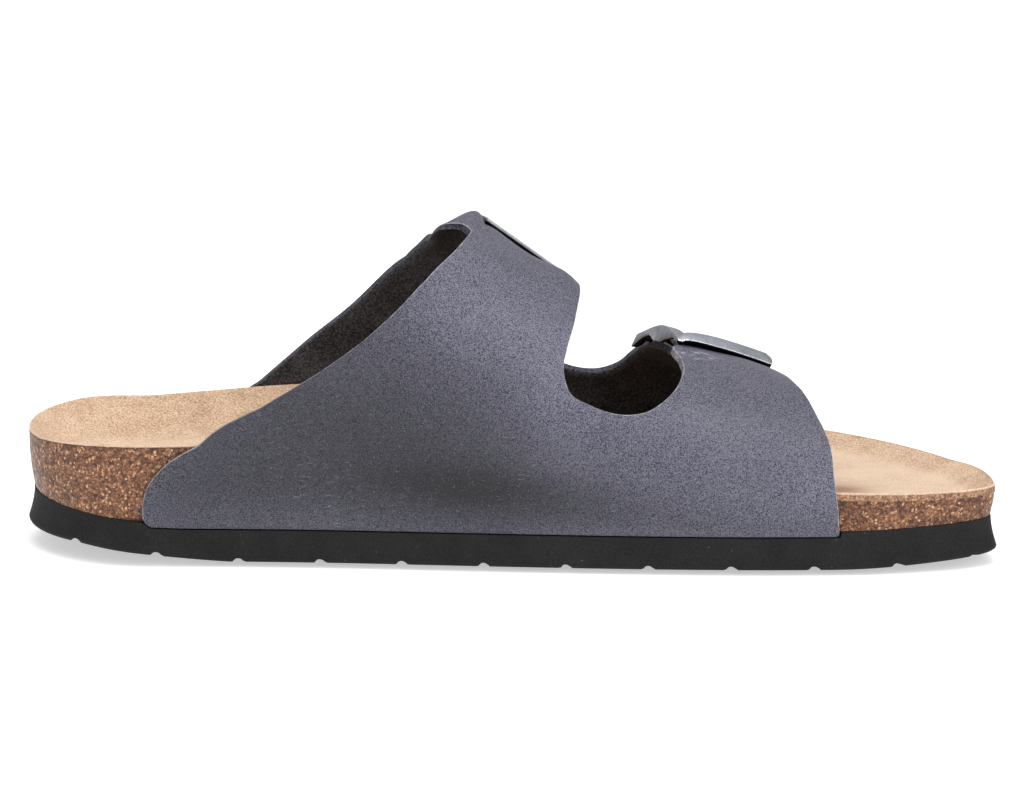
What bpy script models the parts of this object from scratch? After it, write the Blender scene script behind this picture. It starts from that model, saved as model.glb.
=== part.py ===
"""Left slide sandal with two buckled leather straps on a cork footbed, at its real size.

Tables and sizes are in millimetres, and become metres when a mesh is made.
Station is the distance from the back of the heel towards the toe, -Y is the inner
(big toe) side, +Y the outer side, and Z the height above the floor.
Girth runs round the foot: -1 at the inner sole edge, 0 on the instep ridge, +1 at the outer sole edge.
"""

import math
from collections import namedtuple

import bmesh
import bpy
import numpy as np
from mathutils import Vector

MM = 0.001
LENGTH = 278.0
FIT_GAP = 0.3

# Plan outline of the footbed
HEEL_CENTRE = 35.0
HEEL_HALF_WIDTH = 33.5
TOE_CENTRE = 235.0
TOE_TIP_Y = -29.0
OUTER_BALL = 178.0
OUTER_BALL_Y = 55.3
Edge = namedtuple("Edge", "station y")
INNER_EDGE = (
    Edge(35, -33.5),
    Edge(60, -33.8),
    Edge(90, -35.4),
    Edge(120, -38.2),
    Edge(150, -40.9),
    Edge(180, -43.0),
    Edge(210, -44.0),
    Edge(235, -43.5),
)
OUTER_EDGE = (
    Edge(35, 33.5),
    Edge(60, 36.4),
    Edge(90, 41.8),
    Edge(120, 47.4),
    Edge(150, 52.4),
    Edge(178, 55.3),
)

# Outsole: thickness, roll of the heel and the toe, side flare and grooves
SOLE_TOP = 11.5
HEEL_ROLL_START, HEEL_ROLL, HEEL_ROLL_POWER = 60.0, 6.2, 1.25
TOE_ROLL_START, TOE_ROLL, TOE_ROLL_POWER = 230.0, 2.5, 1.6
HEEL_SEAT_START, HEEL_SEAT_RISE, HEEL_SEAT_POWER = 50.0, 4.0, 1.7
TOE_SEAT_START, TOE_SEAT_RISE, TOE_SEAT_POWER = 235.0, 1.5, 1.5
SOLE_FLARE, END_FLARE = 2.2, 0.2
END_BLEND = 30.0
SOLE_EDGE_ROUND = 1.3
RABBET_DEPTH = 2.3
RABBET_REACH = 2.1
GROOVE_FIRST, GROOVE_PITCH, GROOVE_COUNT = 12.5, 23.4, 12
GROOVE_RADIUS, GROOVE_DEPTH = 3.0, 1.8
GROOVE_WAVE, GROOVE_WAVES = 3.0, 2.5
GROOVE_POINTS = 17
GROOVE_SIDES_RESOLUTION = 1

# Footbed and insole: rim heights, floor of the dish and the width of its sloping sides
INSOLE_THICKNESS = 1.5
CORK_LEAN = 1.6
Bed = namedtuple("Bed", "station inner_rim outer_rim floor inner_slope outer_slope")
BED = (
    Bed(0, 32.6, 32.6, 25.0, 17, 17),
    Bed(20, 33.8, 34.2, 24.4, 18, 18),
    Bed(45, 34.2, 36.0, 24.2, 20, 20),
    Bed(75, 35.6, 37.4, 24.6, 26, 24),
    Bed(105, 36.0, 36.6, 25.0, 33, 26),
    Bed(135, 33.6, 33.2, 23.6, 30, 24),
    Bed(165, 28.6, 28.6, 20.4, 20, 18),
    Bed(195, 24.6, 25.2, 17.6, 14, 14),
    Bed(215, 22.4, 23.8, 17.0, 12, 12),
    Bed(235, 21.5, 23.0, 16.4, 11, 12),
    Bed(260, 21.2, 22.0, 16.4, 11, 12),
    Bed(280, 21.5, 21.5, 16.6, 11, 11),
)
DISH_RINGS = (0.035, 0.09, 0.16, 0.25, 0.37, 0.52, 0.72, 1.0)
HEEL_COLUMNS, SIDE_COLUMNS, TOE_COLUMNS = 7, 14, 8
COLUMN_SPACE, RABBET_END = 3.0, 0.1

# Foot form under the upper: spring line just above the rim, then an arch up to the instep ridge
SPRING_GIRTH = 0.7
SPRING_RISE = 1.0
OUTER_FALL = 1.1
WALL = 2.4
Ridge = namedtuple("Ridge", "station y height")
RIDGE = (
    Ridge(30, 0.0, 128.0),
    Ridge(70, -0.5, 117.5),
    Ridge(100, -2.0, 104.5),
    Ridge(130, -4.5, 88.0),
    Ridge(160, -7.5, 69.0),
    Ridge(184, -11.0, 55.5),
    Ridge(214, -15.0, 46.0),
    Ridge(240, -18.0, 39.5),
)

# Straps of the two quarters, from their ends down to where they widen: stations of both edges by girth
Strap = namedtuple("Strap", "girth back front")
INNER_REAR_STRAP = (
    Strap(0.52, 116.5, 138.0),
    Strap(0.34, 123.1, 144.6),
    Strap(0.21, 127.9, 149.4),
    Strap(0.17, 129.4, 151.4),
    Strap(0.13, 130.9, 155.0),
    Strap(0.08, 131.6, 156.4),
    Strap(0.04, 129.2, 156.6),
    Strap(0.0, 127.4, 156.6),
    Strap(-0.10, 126.1, 157.0),
    Strap(-0.20, 122.9, 156.9),
    Strap(-0.33, 115.3, 155.1),
)
INNER_FRONT_STRAP = (
    Strap(-0.10, 186.6, 222.0),
    Strap(-0.06, 185.0, 220.8),
    Strap(-0.02, 184.4, 219.8),
    Strap(0.02, 185.6, 218.8),
    Strap(0.05, 187.2, 217.4),
    Strap(0.08, 187.0, 214.2),
    Strap(0.11, 186.2, 210.2),
    Strap(0.15, 185.0, 208.3),
    Strap(0.28, 181.4, 204.5),
    Strap(0.43, 177.6, 200.4),
)
OUTER_REAR_STRAP = (
    Strap(-0.17, 131.0, 155.5),
    Strap(0.0, 127.0, 153.5),
    Strap(0.08, 124.0, 151.8),
    Strap(0.17, 119.2, 149.8),
    Strap(0.31, 113.0, 147.6),
    Strap(0.39, 107.0, 147.0),
)
OUTER_FRONT_STRAP = (
    Strap(0.39, 176.8, 206.4),
    Strap(0.30, 178.8, 206.8),
    Strap(0.20, 182.0, 208.4),
    Strap(0.10, 185.5, 210.8),
    Strap(0.0, 188.3, 213.4),
    Strap(-0.17, 190.5, 217.0),
)

# Cut edges of the quarters below the straps, as station and girth
Cut = namedtuple("Cut", "station girth")
INNER_REAR_CUT = (
    Cut(115.3, -0.33),
    Cut(107.7, -0.427),
    Cut(98.7, -0.507),
    Cut(89.0, -0.565),
    Cut(70.0, -0.642),
    Cut(51.5, -0.70),
    Cut(40.0, -0.79),
    Cut(35.8, -0.87),
    Cut(35.0, -0.935),
    Cut(36.0, -0.98),
    Cut(39.5, -1.0),
)
INNER_FRONT_CUT = (
    Cut(232.4, -1.0),
    Cut(232.0, -0.79),
    Cut(230.8, -0.58),
    Cut(229.4, -0.38),
    Cut(225.9, -0.217),
    Cut(222.0, -0.10),
)
INNER_NOTCH_CUT = (
    Cut(155.1, -0.33),
    Cut(154.3, -0.415),
    Cut(156.3, -0.475),
    Cut(161.9, -0.490),
    Cut(171.2, -0.482),
    Cut(177.5, -0.442),
    Cut(183.3, -0.349),
    Cut(186.7, -0.25),
    Cut(187.6, -0.165),
    Cut(186.6, -0.10),
)
OUTER_REAR_CUT = (
    Cut(107.0, 0.39),
    Cut(92.0, 0.532),
    Cut(77.0, 0.625),
    Cut(62.0, 0.712),
    Cut(50.0, 0.80),
    Cut(45.8, 0.87),
    Cut(45.0, 0.935),
    Cut(46.0, 0.98),
    Cut(49.5, 1.0),
)
OUTER_FRONT_CUT = (
    Cut(210.0, 1.0),
    Cut(208.5, 0.80),
    Cut(207.0, 0.60),
    Cut(206.4, 0.39),
)
OUTER_NOTCH_CUT = (
    Cut(147.0, 0.39),
    Cut(147.6, 0.50),
    Cut(151.0, 0.57),
    Cut(157.0, 0.587),
    Cut(166.7, 0.57),
    Cut(171.8, 0.52),
    Cut(174.6, 0.455),
    Cut(176.8, 0.39),
)
STRAP_STEP = 0.034
REAR_STEPS, SOLE_EDGE_STEPS, FRONT_STEPS, ACROSS_STEPS = 11, 15, 8, 8
NOTCH_REAR_SHARE, NOTCH_FRONT_SHARE = 0.22, 0.55
TAIL_BOW, TAIL_BOW_STEPS = 0.06, 4

# Buckles: a frame set slantwise over each strap, its tip bar on the strap, its pivot bar under it
Buckle = namedtuple("Buckle", "name station girth slope turn")
BUCKLES = (
    Buckle("rear", 142.0, 0.12, math.radians(32), math.radians(22)),
    Buckle("front", 199.0, 0.07, math.radians(17.5), math.radians(16)),
)
GIRTH_LENGTH = 108.0
FRAME_LENGTH, FRAME_WIDTH = 28.2, 25.0
FRAME_BAR, FRAME_THICKNESS, FRAME_CORNER = 3.4, 1.5, 2.6
FRAME_STEPS = 4
PRONG_RADIUS = 0.8
PRONG_HOLE_RADIUS, PRONG_HOLE_PAST = 1.8, 19.5
STRAP_SEAT = WALL - 0.5
TAIL_SINK = 0.6
STRAP_HUMP = WALL + FRAME_THICKNESS + 5 * FIT_GAP
RAMP_START, RAMP_END = -42.0, -22.0
CLIMB_START, CREST, TAIL_DROP = 3.0, 4.5, 13.0

Finish = namedtuple("Finish", "colour roughness metallic")
FINISHES = {
    "sole_foam": Finish((0.030, 0.029, 0.031), 0.75, 0.0),
    "cork": Finish((0.26, 0.135, 0.082), 0.70, 0.0),
    "suede": Finish((0.78, 0.56, 0.39), 0.90, 0.0),
    "leather": Finish((0.125, 0.125, 0.155), 0.50, 0.0),
    "metal": Finish((0.42, 0.42, 0.42), 0.35, 1.0),
}


def curve_through(rows, value, by="station"):
    """Smooth function of one named column of a table that gives another."""
    xs = np.array([getattr(row, by) for row in rows], float)
    ys = np.array([getattr(row, value) for row in rows], float)
    slopes = np.gradient(ys, xs)

    def at(x):
        i = int(np.clip(np.searchsorted(xs, x) - 1, 0, len(xs) - 2))
        span = xs[i + 1] - xs[i]
        t = float(np.clip((x - xs[i]) / span, 0, 1))
        return (
            ys[i] * (1 + 2 * t) * (1 - t) ** 2
            + ys[i + 1] * t * t * (3 - 2 * t)
            + span * t * (1 - t) * (slopes[i] * (1 - t) - slopes[i + 1] * t)
        )

    return at


inner_side = curve_through(INNER_EDGE, "y")
outer_side = curve_through(OUTER_EDGE, "y")
inner_rim = curve_through(BED, "inner_rim")
outer_rim = curve_through(BED, "outer_rim")
bed_floor = curve_through(BED, "floor")
inner_slope = curve_through(BED, "inner_slope")
outer_slope = curve_through(BED, "outer_slope")
ridge_y = curve_through(RIDGE, "y")
ridge_height = curve_through(RIDGE, "height")


def smooth_step(x):
    """0 below 0, 1 above 1, smooth between."""
    x = min(max(x, 0.0), 1.0)
    return x * x * (3 - 2 * x)


def quarter(distance, reach):
    """Height of a quarter ellipse of unit height, from 1 at distance 0 to 0 at its reach."""
    return math.sqrt(max(0.0, 1 - (distance / reach) ** 2))


def inner_edge(station):
    """Y of the footbed's inner edge."""
    if station < HEEL_CENTRE:
        return -HEEL_HALF_WIDTH * quarter(HEEL_CENTRE - station, HEEL_CENTRE)
    if station <= TOE_CENTRE:
        return inner_side(station)
    round_toe = quarter(station - TOE_CENTRE, LENGTH - TOE_CENTRE)
    return TOE_TIP_Y + (INNER_EDGE[-1].y - TOE_TIP_Y) * round_toe


def outer_edge(station):
    """Y of the footbed's outer edge, which rounds to the toe from the ball on."""
    if station < HEEL_CENTRE:
        return HEEL_HALF_WIDTH * quarter(HEEL_CENTRE - station, HEEL_CENTRE)
    if station <= OUTER_BALL:
        return outer_side(station)
    round_toe = quarter(station - OUTER_BALL, LENGTH - OUTER_BALL)
    return TOE_TIP_Y + (OUTER_BALL_Y - TOE_TIP_Y) * round_toe


def sole_bottom(station):
    """Height of the tread above the floor: flat, rolled up at the heel and the toe."""
    heel = max(0.0, (HEEL_ROLL_START - station) / HEEL_ROLL_START)
    toe = max(0.0, (station - TOE_ROLL_START) / (LENGTH - TOE_ROLL_START))
    return HEEL_ROLL * heel**HEEL_ROLL_POWER + TOE_ROLL * toe**TOE_ROLL_POWER


def sole_top(station):
    """Height of the seat on which the cork lies."""
    heel = max(0.0, (HEEL_SEAT_START - station) / HEEL_SEAT_START)
    toe = max(0.0, (station - TOE_SEAT_START) / (LENGTH - TOE_SEAT_START))
    rise = HEEL_SEAT_RISE * heel**HEEL_SEAT_POWER + TOE_SEAT_RISE * toe**TOE_SEAT_POWER
    return SOLE_TOP + rise


# Origin at the middle of the part's box, on the floor
PLAN_CENTRE = Vector((LENGTH / 2, 5.6, 0.0))


def placed(station, y, z):
    """A point of the tables, in metres in the part's own frame."""
    return (Vector((station, y, z)) - PLAN_CENTRE) * MM


# Rings round the plan outline

Column = namedtuple("Column", "point normal spine inner")


def outline_stations():
    """(station, is_inner) round the plan, from the back of the heel along the inner side and back."""
    heel = [HEEL_CENTRE * (1 - math.cos(math.pi / 2 * i / HEEL_COLUMNS)) for i in range(HEEL_COLUMNS)]
    feet = upper_foot(INNER_REAR_CUT, INNER_FRONT_CUT) + upper_foot(OUTER_REAR_CUT, OUTER_FRONT_CUT)
    steps = [s + shift for s in feet for shift in (-RABBET_END, RABBET_END)]
    even = np.linspace(HEEL_CENTRE, TOE_CENTRE, SIDE_COLUMNS)
    sides = sorted(steps + [s for s in even if min(abs(s - foot) for foot in feet) > COLUMN_SPACE])
    toe = [
        TOE_CENTRE + (LENGTH - TOE_CENTRE) * math.sin(math.pi / 2 * i / TOE_COLUMNS)
        for i in range(1, TOE_COLUMNS + 1)
    ]
    forward = heel + sides + toe
    return [(s, True) for s in forward] + [(s, False) for s in forward[-2:0:-1]]


def plan_columns():
    """Outline points with their outward normals and the spine points that they run in to."""
    stations = outline_stations()
    points = [Vector((s, inner_edge(s) if inner else outer_edge(s))) for s, inner in stations]
    columns = []
    for i, (station, inner) in enumerate(stations):
        along = points[(i + 1) % len(points)] - points[i - 1]
        normal = Vector((along.y, -along.x)).normalized()
        centre = min(max(station, HEEL_CENTRE), TOE_CENTRE)
        spine = Vector((centre, (inner_edge(centre) + outer_edge(centre)) / 2))
        columns.append(Column(points[i], normal, spine, inner))
    return columns


def ring_solid(name, profile, finish):
    """Closed solid whose rings follow the plan outline. A profile row is (outward, share to spine, z)."""
    mesh = bmesh.new()
    rings = []
    for column in plan_columns():
        ring = []
        for outward, share, height in profile(column):
            edge = column.point + column.normal * outward
            plan = edge.lerp(column.spine, share)
            z = height(plan.x) if callable(height) else height
            ring.append(mesh.verts.new(placed(plan.x, plan.y, z)))
        rings.append(ring)
    for ring, following in zip(rings, rings[1:] + rings[:1]):
        for low, high, high_next, low_next in zip(ring, ring[1:], following[1:], following):
            mesh.faces.new((low, low_next, high_next, high))
    bmesh.ops.remove_doubles(mesh, verts=mesh.verts, dist=0.01 * MM)
    bmesh.ops.triangulate(mesh, faces=mesh.faces, quad_method="SHORT_EDGE")
    return finished(name, mesh, finish)


def finished(name, mesh, finish):
    """Object made of a bmesh, with its faces outwards and its material."""
    bmesh.ops.dissolve_degenerate(mesh, edges=mesh.edges, dist=0.001 * MM)
    bmesh.ops.recalc_face_normals(mesh, faces=mesh.faces)
    data = bpy.data.meshes.new(name)
    mesh.to_mesh(data)
    mesh.free()
    data.shade_smooth()
    data.set_sharp_from_angle(angle=math.radians(40))
    return added(name, data, finish)


def added(name, data, finish):
    """Object of this data in the part's collection."""
    data.materials.append(material(finish))
    obj = bpy.data.objects.new(name, data)
    bpy.data.collections["slide_sandal"].objects.link(obj)
    return obj


def material(name):
    """Principled material of this finish, made once."""
    found = bpy.data.materials.get(name)
    if found:
        return found
    made = bpy.data.materials.new(name)
    made.use_nodes = True
    shader = made.node_tree.nodes["Principled BSDF"]
    finish = FINISHES[name]
    shader.inputs["Base Color"].default_value = (*finish.colour, 1.0)
    shader.inputs["Roughness"].default_value = finish.roughness
    shader.inputs["Metallic"].default_value = finish.metallic
    return made


def past_upper(column):
    """How far a column lies behind or ahead of the upper's foot, 0 beside it."""
    rear, front = (INNER_REAR_CUT, INNER_FRONT_CUT) if column.inner else (OUTER_REAR_CUT, OUTER_FRONT_CUT)
    first, last = upper_foot(rear, front)
    return max(0.0, first - column.point.x, column.point.x - last)


def upper_foot(rear, front):
    """First and last stations of a quarter's foot in the sole's rabbet."""
    return min(row.station for row in rear) - 2 * FIT_GAP, front[0].station + 2 * FIT_GAP


def end_share(column):
    """0 beside the upper, growing smoothly to 1 towards the heel and the toe."""
    return smooth_step(past_upper(column) / END_BLEND)


def outsole():
    """Foam sole with flared sides, a rabbet for the upper and grooves across its tread."""

    def profile(column):
        station = column.point.x
        bottom, seat = sole_bottom(station), sole_top(station)
        beside_upper = past_upper(column) == 0
        shoulder = seat - RABBET_DEPTH if beside_upper else seat
        reach = RABBET_REACH if beside_upper else FIT_GAP - CORK_LEAN * end_share(column)
        flare = SOLE_FLARE + (END_FLARE - SOLE_FLARE) * end_share(column)
        return (
            (0.0, 1.0, sole_bottom),
            (0.0, 0.5, sole_bottom),
            (flare - SOLE_EDGE_ROUND, 0.0, bottom),
            (flare, 0.0, bottom + SOLE_EDGE_ROUND),
            ((flare + 2 * reach) / 3, 0.0, (bottom + shoulder) / 2),
            (reach, 0.0, shoulder),
            (min(reach, 0.0) - 0.2, 0.0, shoulder),
            (min(reach, 0.0) - 0.5, 0.0, seat),
            (0.0, 1.0, sole_top),
        )

    sole = ring_solid("outsole", profile, "sole_foam")
    for i in range(GROOVE_COUNT):
        cut(sole, groove(i))
    return sole


def groove(index):
    """Round-bottomed wavy cutter across the tread."""
    middle = GROOVE_FIRST + index * GROOVE_PITCH
    inner, outer = inner_edge(middle) - 8, outer_edge(middle) + 8
    points = []
    for share in np.linspace(0, 1, GROOVE_POINTS):
        station = middle + GROOVE_WAVE * math.sin(2 * math.pi * GROOVE_WAVES * share)
        z = sole_bottom(station) + GROOVE_DEPTH - GROOVE_RADIUS
        points.append(placed(station, inner + (outer - inner) * share, z))
    return tube(f"groove_cutter_{index}", points, GROOVE_RADIUS, GROOVE_SIDES_RESOLUTION)


def tube(name, points, radius, resolution):
    """Closed mesh tube along points in metres."""
    data = bpy.data.curves.new(name, "CURVE")
    data.dimensions = "3D"
    data.bevel_depth = radius * MM
    data.bevel_resolution = resolution
    data.use_fill_caps = True
    spline = data.splines.new("POLY")
    spline.points.add(len(points) - 1)
    for point, place in zip(spline.points, points):
        point.co = (*place, 1.0)
    return as_mesh(bpy.data.objects.new(name, data))


def as_mesh(curve):
    """Mesh object that takes a curve object's place, with its caps welded."""
    name = curve.name
    bpy.context.scene.collection.objects.link(curve)
    bpy.context.view_layer.update()
    graph = bpy.context.evaluated_depsgraph_get()
    data = bpy.data.meshes.new_from_object(curve.evaluated_get(graph))
    bpy.data.objects.remove(curve)
    welded = bmesh.new()
    welded.from_mesh(data)
    bmesh.ops.remove_doubles(welded, verts=welded.verts, dist=0.001 * MM)
    bmesh.ops.recalc_face_normals(welded, faces=welded.faces)
    welded.to_mesh(data)
    welded.free()
    return bpy.data.objects.new(name, data)


def helper(obj):
    """Keeps an object as a cutter that isn't shown."""
    if obj.name not in bpy.data.collections["cutters"].objects:
        bpy.data.collections["cutters"].objects.link(obj)
    obj.hide_render = True
    obj.display_type = "WIRE"
    return obj


def cut(target, cutter, operation="DIFFERENCE"):
    """Boolean of a helper object on a target."""
    step = target.modifiers.new(cutter.name, "BOOLEAN")
    step.operation = operation
    step.object = helper(cutter)


def dish_height(column, share, below=0.0):
    """Function of the plan point that gives the insole's top, or a level below it."""
    rim = inner_rim if column.inner else outer_rim
    slope = inner_slope if column.inner else outer_slope
    reach = (column.spine - column.point).length

    def at(station):
        side = max(0.0, 1 - share * reach / slope(column.point.x)) ** 2
        level = bed_floor(station)
        return level + (rim(column.point.x) - level) * side - below

    return at


def footbed():
    """Cork midsole: upright beside the upper, dished on top."""
    depth = INSOLE_THICKNESS + FIT_GAP

    def profile(column):
        lean = CORK_LEAN * end_share(column)
        foot = sole_top(column.point.x) + FIT_GAP
        rim = dish_height(column, 0.0, depth)(column.point.x)
        base = (
            (0.0, 1.0, lambda station: sole_top(station) + FIT_GAP),
            (-lean, 0.0, foot),
            (-lean * 0.35, 0.0, foot + (rim - foot) * 0.45),
            (0.0, 0.0, rim),
        )
        return base + tuple((0.0, share, dish_height(column, share, depth)) for share in DISH_RINGS)

    return ring_solid("footbed", profile, "cork")


def insole():
    """Suede lining of the dish, out to the rim."""

    def profile(column):
        under = tuple((0.0, s, dish_height(column, s, INSOLE_THICKNESS)) for s in reversed(DISH_RINGS))
        edge = (
            (0.0, 0.0, dish_height(column, 0.0, INSOLE_THICKNESS)),
            (0.0, 0.0, dish_height(column, 0.0)),
        )
        over = tuple((0.0, s, dish_height(column, s)) for s in DISH_RINGS)
        return under + edge + over

    return ring_solid("insole", profile, "suede")


# Upper


def foot_form(station, girth):
    """Point of the foot form, without any lift: upright wall to the spring line, then an elliptic arch."""
    inner = girth < 0
    side = inner_edge(station) - FIT_GAP if inner else outer_edge(station) + FIT_GAP
    base = sole_top(station) - RABBET_DEPTH + FIT_GAP
    spring = (inner_rim(station) if inner else outer_rim(station)) + SPRING_RISE
    if abs(girth) > SPRING_GIRTH:
        share = (1 - abs(girth)) / (1 - SPRING_GIRTH)
        return Vector((station, side, base + (spring - base) * share))
    turn = math.pi / 2 * (1 - abs(girth) / SPRING_GIRTH)
    fall = 1.0 if inner else OUTER_FALL
    top = ridge_y(station)
    return Vector((
        station,
        top + (side - top) * math.cos(turn) ** fall,
        spring + (ridge_height(station) - spring) * math.sin(turn) ** fall,
    ))


def form_normal(station, girth):
    """Outward normal of the foot form."""
    step_station, step_girth = 0.5, 0.004
    along = foot_form(station + step_station, girth) - foot_form(station - step_station, girth)
    around = foot_form(station, girth + step_girth) - foot_form(station, girth - step_girth)
    return along.cross(around).normalized()


def over_foot(station, girth, lift):
    """Point at a height over the foot form."""
    return foot_form(station, girth) + form_normal(station, girth) * lift


Knot = namedtuple("Knot", "reach along around")


def smooth_path(rows, count):
    """Evenly stepped points along the smooth curve through (station, girth) rows."""
    girth_scale = 80.0
    points = np.array([(row.station, row.girth * girth_scale) for row in rows], float)
    reach = np.concatenate([[0], np.cumsum(np.linalg.norm(np.diff(points, axis=0), axis=1))])
    knots = [Knot(r, *p) for r, p in zip(reach, points)]
    along, around = curve_through(knots, "along", "reach"), curve_through(knots, "around", "reach")
    return [Cut(along(r), around(r) / girth_scale) for r in np.linspace(0, reach[-1], count + 1)]


def past_tip_bar(buckle, station, girth):
    """Distance of a strap point beyond its buckle's tip bar, square to the bar."""
    along = (station - buckle.station) / math.cos(buckle.slope)
    around = (girth - buckle.girth) * GIRTH_LENGTH
    return around * math.cos(buckle.turn) - along * math.sin(buckle.turn)


def strap_lift(buckle, station, girth):
    """Height of a strap's underside over the foot form: on to the outer arm, over the pivot bar and down."""
    past = past_tip_bar(buckle, station, girth)
    seat = STRAP_SEAT * smooth_step((past - RAMP_START) / (RAMP_END - RAMP_START))
    climb = smooth_step((past - CLIMB_START) / (FRAME_WIDTH - CREST - CLIMB_START))
    fall = smooth_step((past - FRAME_WIDTH - CREST) / TAIL_DROP)
    return seat + (STRAP_HUMP - STRAP_SEAT) * climb - (STRAP_HUMP - STRAP_SEAT + TAIL_SINK) * fall


def strap_edges(rows):
    """Back and front edge points of a strap, in the order of its rows."""
    ordered = sorted(rows, key=lambda row: row.girth)
    back, front = curve_through(ordered, "back", "girth"), curve_through(ordered, "front", "girth")
    first, last = rows[0].girth, rows[-1].girth
    count = max(2, round(abs(last - first) / STRAP_STEP))
    girths = np.linspace(first, last, count + 1)
    return [Cut(back(g), g) for g in girths], [Cut(front(g), g) for g in girths]


def quarter_sheet(name, rear_strap, front_strap, rear, front, notch, lift):
    """U-shaped sheet between a quarter's outer edge and its notch, raised by lift(is_rear, station, girth)."""
    rear_back, rear_front = strap_edges(rear_strap)
    front_back, front_front = strap_edges(front_strap)
    outside = rear_back + smooth_path(rear, REAR_STEPS)[1:]
    outside += smooth_path((rear[-1], front[0]), SOLE_EDGE_STEPS)[1:]
    outside += smooth_path(front, FRONT_STEPS)[1:] + front_front[1:]
    fine = 400
    whole = smooth_path(notch, fine)
    rear_end, front_end = fine * NOTCH_REAR_SHARE, fine * NOTCH_FRONT_SHARE
    picks = np.concatenate([
        np.linspace(0, rear_end, REAR_STEPS + 1)[1:],
        np.linspace(rear_end, front_end, SOLE_EDGE_STEPS + 1)[1:],
        np.linspace(front_end, fine, FRONT_STEPS + 1)[1:],
    ])
    inside = rear_front + [whole[int(round(p))] for p in picks] + front_back[1:]
    last = len(outside) - 1
    towards_end = math.copysign(TAIL_BOW, rear_strap[0].girth)
    mesh = bmesh.new()
    grid = []
    for i, (near, far) in enumerate(zip(outside, inside)):
        bow = towards_end * max(0.0, 1 - min(i, last - i) / TAIL_BOW_STEPS)
        row = []
        for j in range(ACROSS_STEPS + 1):
            share = j / ACROSS_STEPS
            station = near.station + (far.station - near.station) * share
            girth = near.girth + (far.girth - near.girth) * share
            girth -= bow * (2 * share - 1) ** 2
            place = over_foot(station, girth, lift(i <= last // 2, station, girth))
            row.append(mesh.verts.new(placed(*place)))
        grid.append(row)
    for row, following in zip(grid, grid[1:]):
        for a, b, c, d in zip(row, row[1:], following[1:], following):
            mesh.faces.new((a, b, c, d))
    sheet = finished(name, mesh, "leather")
    face_out(sheet)
    wall = sheet.modifiers.new("wall", "SOLIDIFY")
    wall.thickness = WALL * MM
    wall.offset = 1.0
    wall.use_quality_normals = True
    return sheet


def face_out(sheet):
    """Turns a sheet's faces away from the foot."""
    face = sheet.data.polygons[len(sheet.data.polygons) // 2]
    side = face.center.y
    if face.normal.y * side < 0:
        sheet.data.flip_normals()


def upper():
    """Inner and outer quarters, joined where the straps cross on the outer side of the instep."""
    rear_buckle, front_buckle = BUCKLES

    def strap(is_rear, station, girth):
        return strap_lift(rear_buckle if is_rear else front_buckle, station, girth)

    inner_quarter = quarter_sheet(
        "upper", INNER_REAR_STRAP, INNER_FRONT_STRAP, INNER_REAR_CUT, INNER_FRONT_CUT, INNER_NOTCH_CUT, strap
    )
    outer_quarter = quarter_sheet(
        "outer_quarter", OUTER_REAR_STRAP, OUTER_FRONT_STRAP, OUTER_REAR_CUT, OUTER_FRONT_CUT,
        OUTER_NOTCH_CUT, lambda is_rear, station, girth: 0.0,
    )
    bpy.data.collections["slide_sandal"].objects.unlink(outer_quarter)
    for buckle in BUCKLES:
        cut(inner_quarter, prong_hole(buckle))
    cut(inner_quarter, outer_quarter, "UNION")
    return inner_quarter


# Buckles


def frame_lift(past):
    """Height of a frame's middle over the foot form: its tip bar on the strap, its pivot bar on the arm."""
    tip, pivot = STRAP_SEAT + WALL + FIT_GAP, WALL + 2 * FIT_GAP
    return tip + (pivot - tip) * past / FRAME_WIDTH + FRAME_THICKNESS / 2


def buckle_place(buckle, along, past):
    """Station and girth at distances along a buckle's bars and past its tip bar."""
    forward = along * math.cos(buckle.turn) - past * math.sin(buckle.turn)
    around = along * math.sin(buckle.turn) + past * math.cos(buckle.turn)
    return buckle.station + forward * math.cos(buckle.slope), buckle.girth + around / GIRTH_LENGTH


def buckle_point(buckle, along, past, lift):
    """Point on a straight line along the bars, at a height over the foot at both sides of the frame."""
    half = FRAME_LENGTH / 2
    back = over_foot(*buckle_place(buckle, -half, past), lift)
    front = over_foot(*buckle_place(buckle, half, past), lift)
    return back.lerp(front, 0.5 + along / FRAME_LENGTH)


def frame_path():
    """Middle line of the frame's bars as (along, past, outward along, outward past) rows, once round."""
    half_length, half_width = FRAME_LENGTH / 2 - FRAME_CORNER, FRAME_WIDTH / 2 - FRAME_CORNER
    rows = []
    for x, y, start in ((1, 1, 0), (-1, 1, 90), (-1, -1, 180), (1, -1, 270)):
        for turn in (0, 45, 90):
            out_x, out_y = math.cos(math.radians(start + turn)), math.sin(math.radians(start + turn))
            middle_x, middle_y = x * half_length, y * half_width
            rows.append((middle_x + FRAME_CORNER * out_x, middle_y + FRAME_CORNER * out_y, out_x, out_y))
        if x * y < 0:
            for step in range(1, FRAME_STEPS):
                share = 1 - 2 * step / FRAME_STEPS
                rows.append((x * (half_length + FRAME_CORNER), y * half_width * share, x, 0.0))
    return [(x, y + FRAME_WIDTH / 2, out_x, out_y) for x, y, out_x, out_y in rows]


def buckle_frame(buckle):
    """Pressed frame, straight along its bars and bent across them with the instep."""
    mesh = bmesh.new()
    rings = []
    for along, past, out_along, out_past in frame_path():
        ring = []
        for side, height in ((-1, -1), (1, -1), (1, 1), (-1, 1)):
            reach = side * FRAME_BAR / 2
            ahead = past + out_past * reach
            lift = frame_lift(ahead) + height * FRAME_THICKNESS / 2
            ring.append(mesh.verts.new(placed(*buckle_point(buckle, along + out_along * reach, ahead, lift))))
        rings.append(ring)
    for ring, following in zip(rings, rings[1:] + rings[:1]):
        for i in range(4):
            mesh.faces.new((ring[i - 1], ring[i], following[i], following[i - 1]))
    return finished(f"{buckle.name}_buckle_frame", mesh, "metal")


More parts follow.
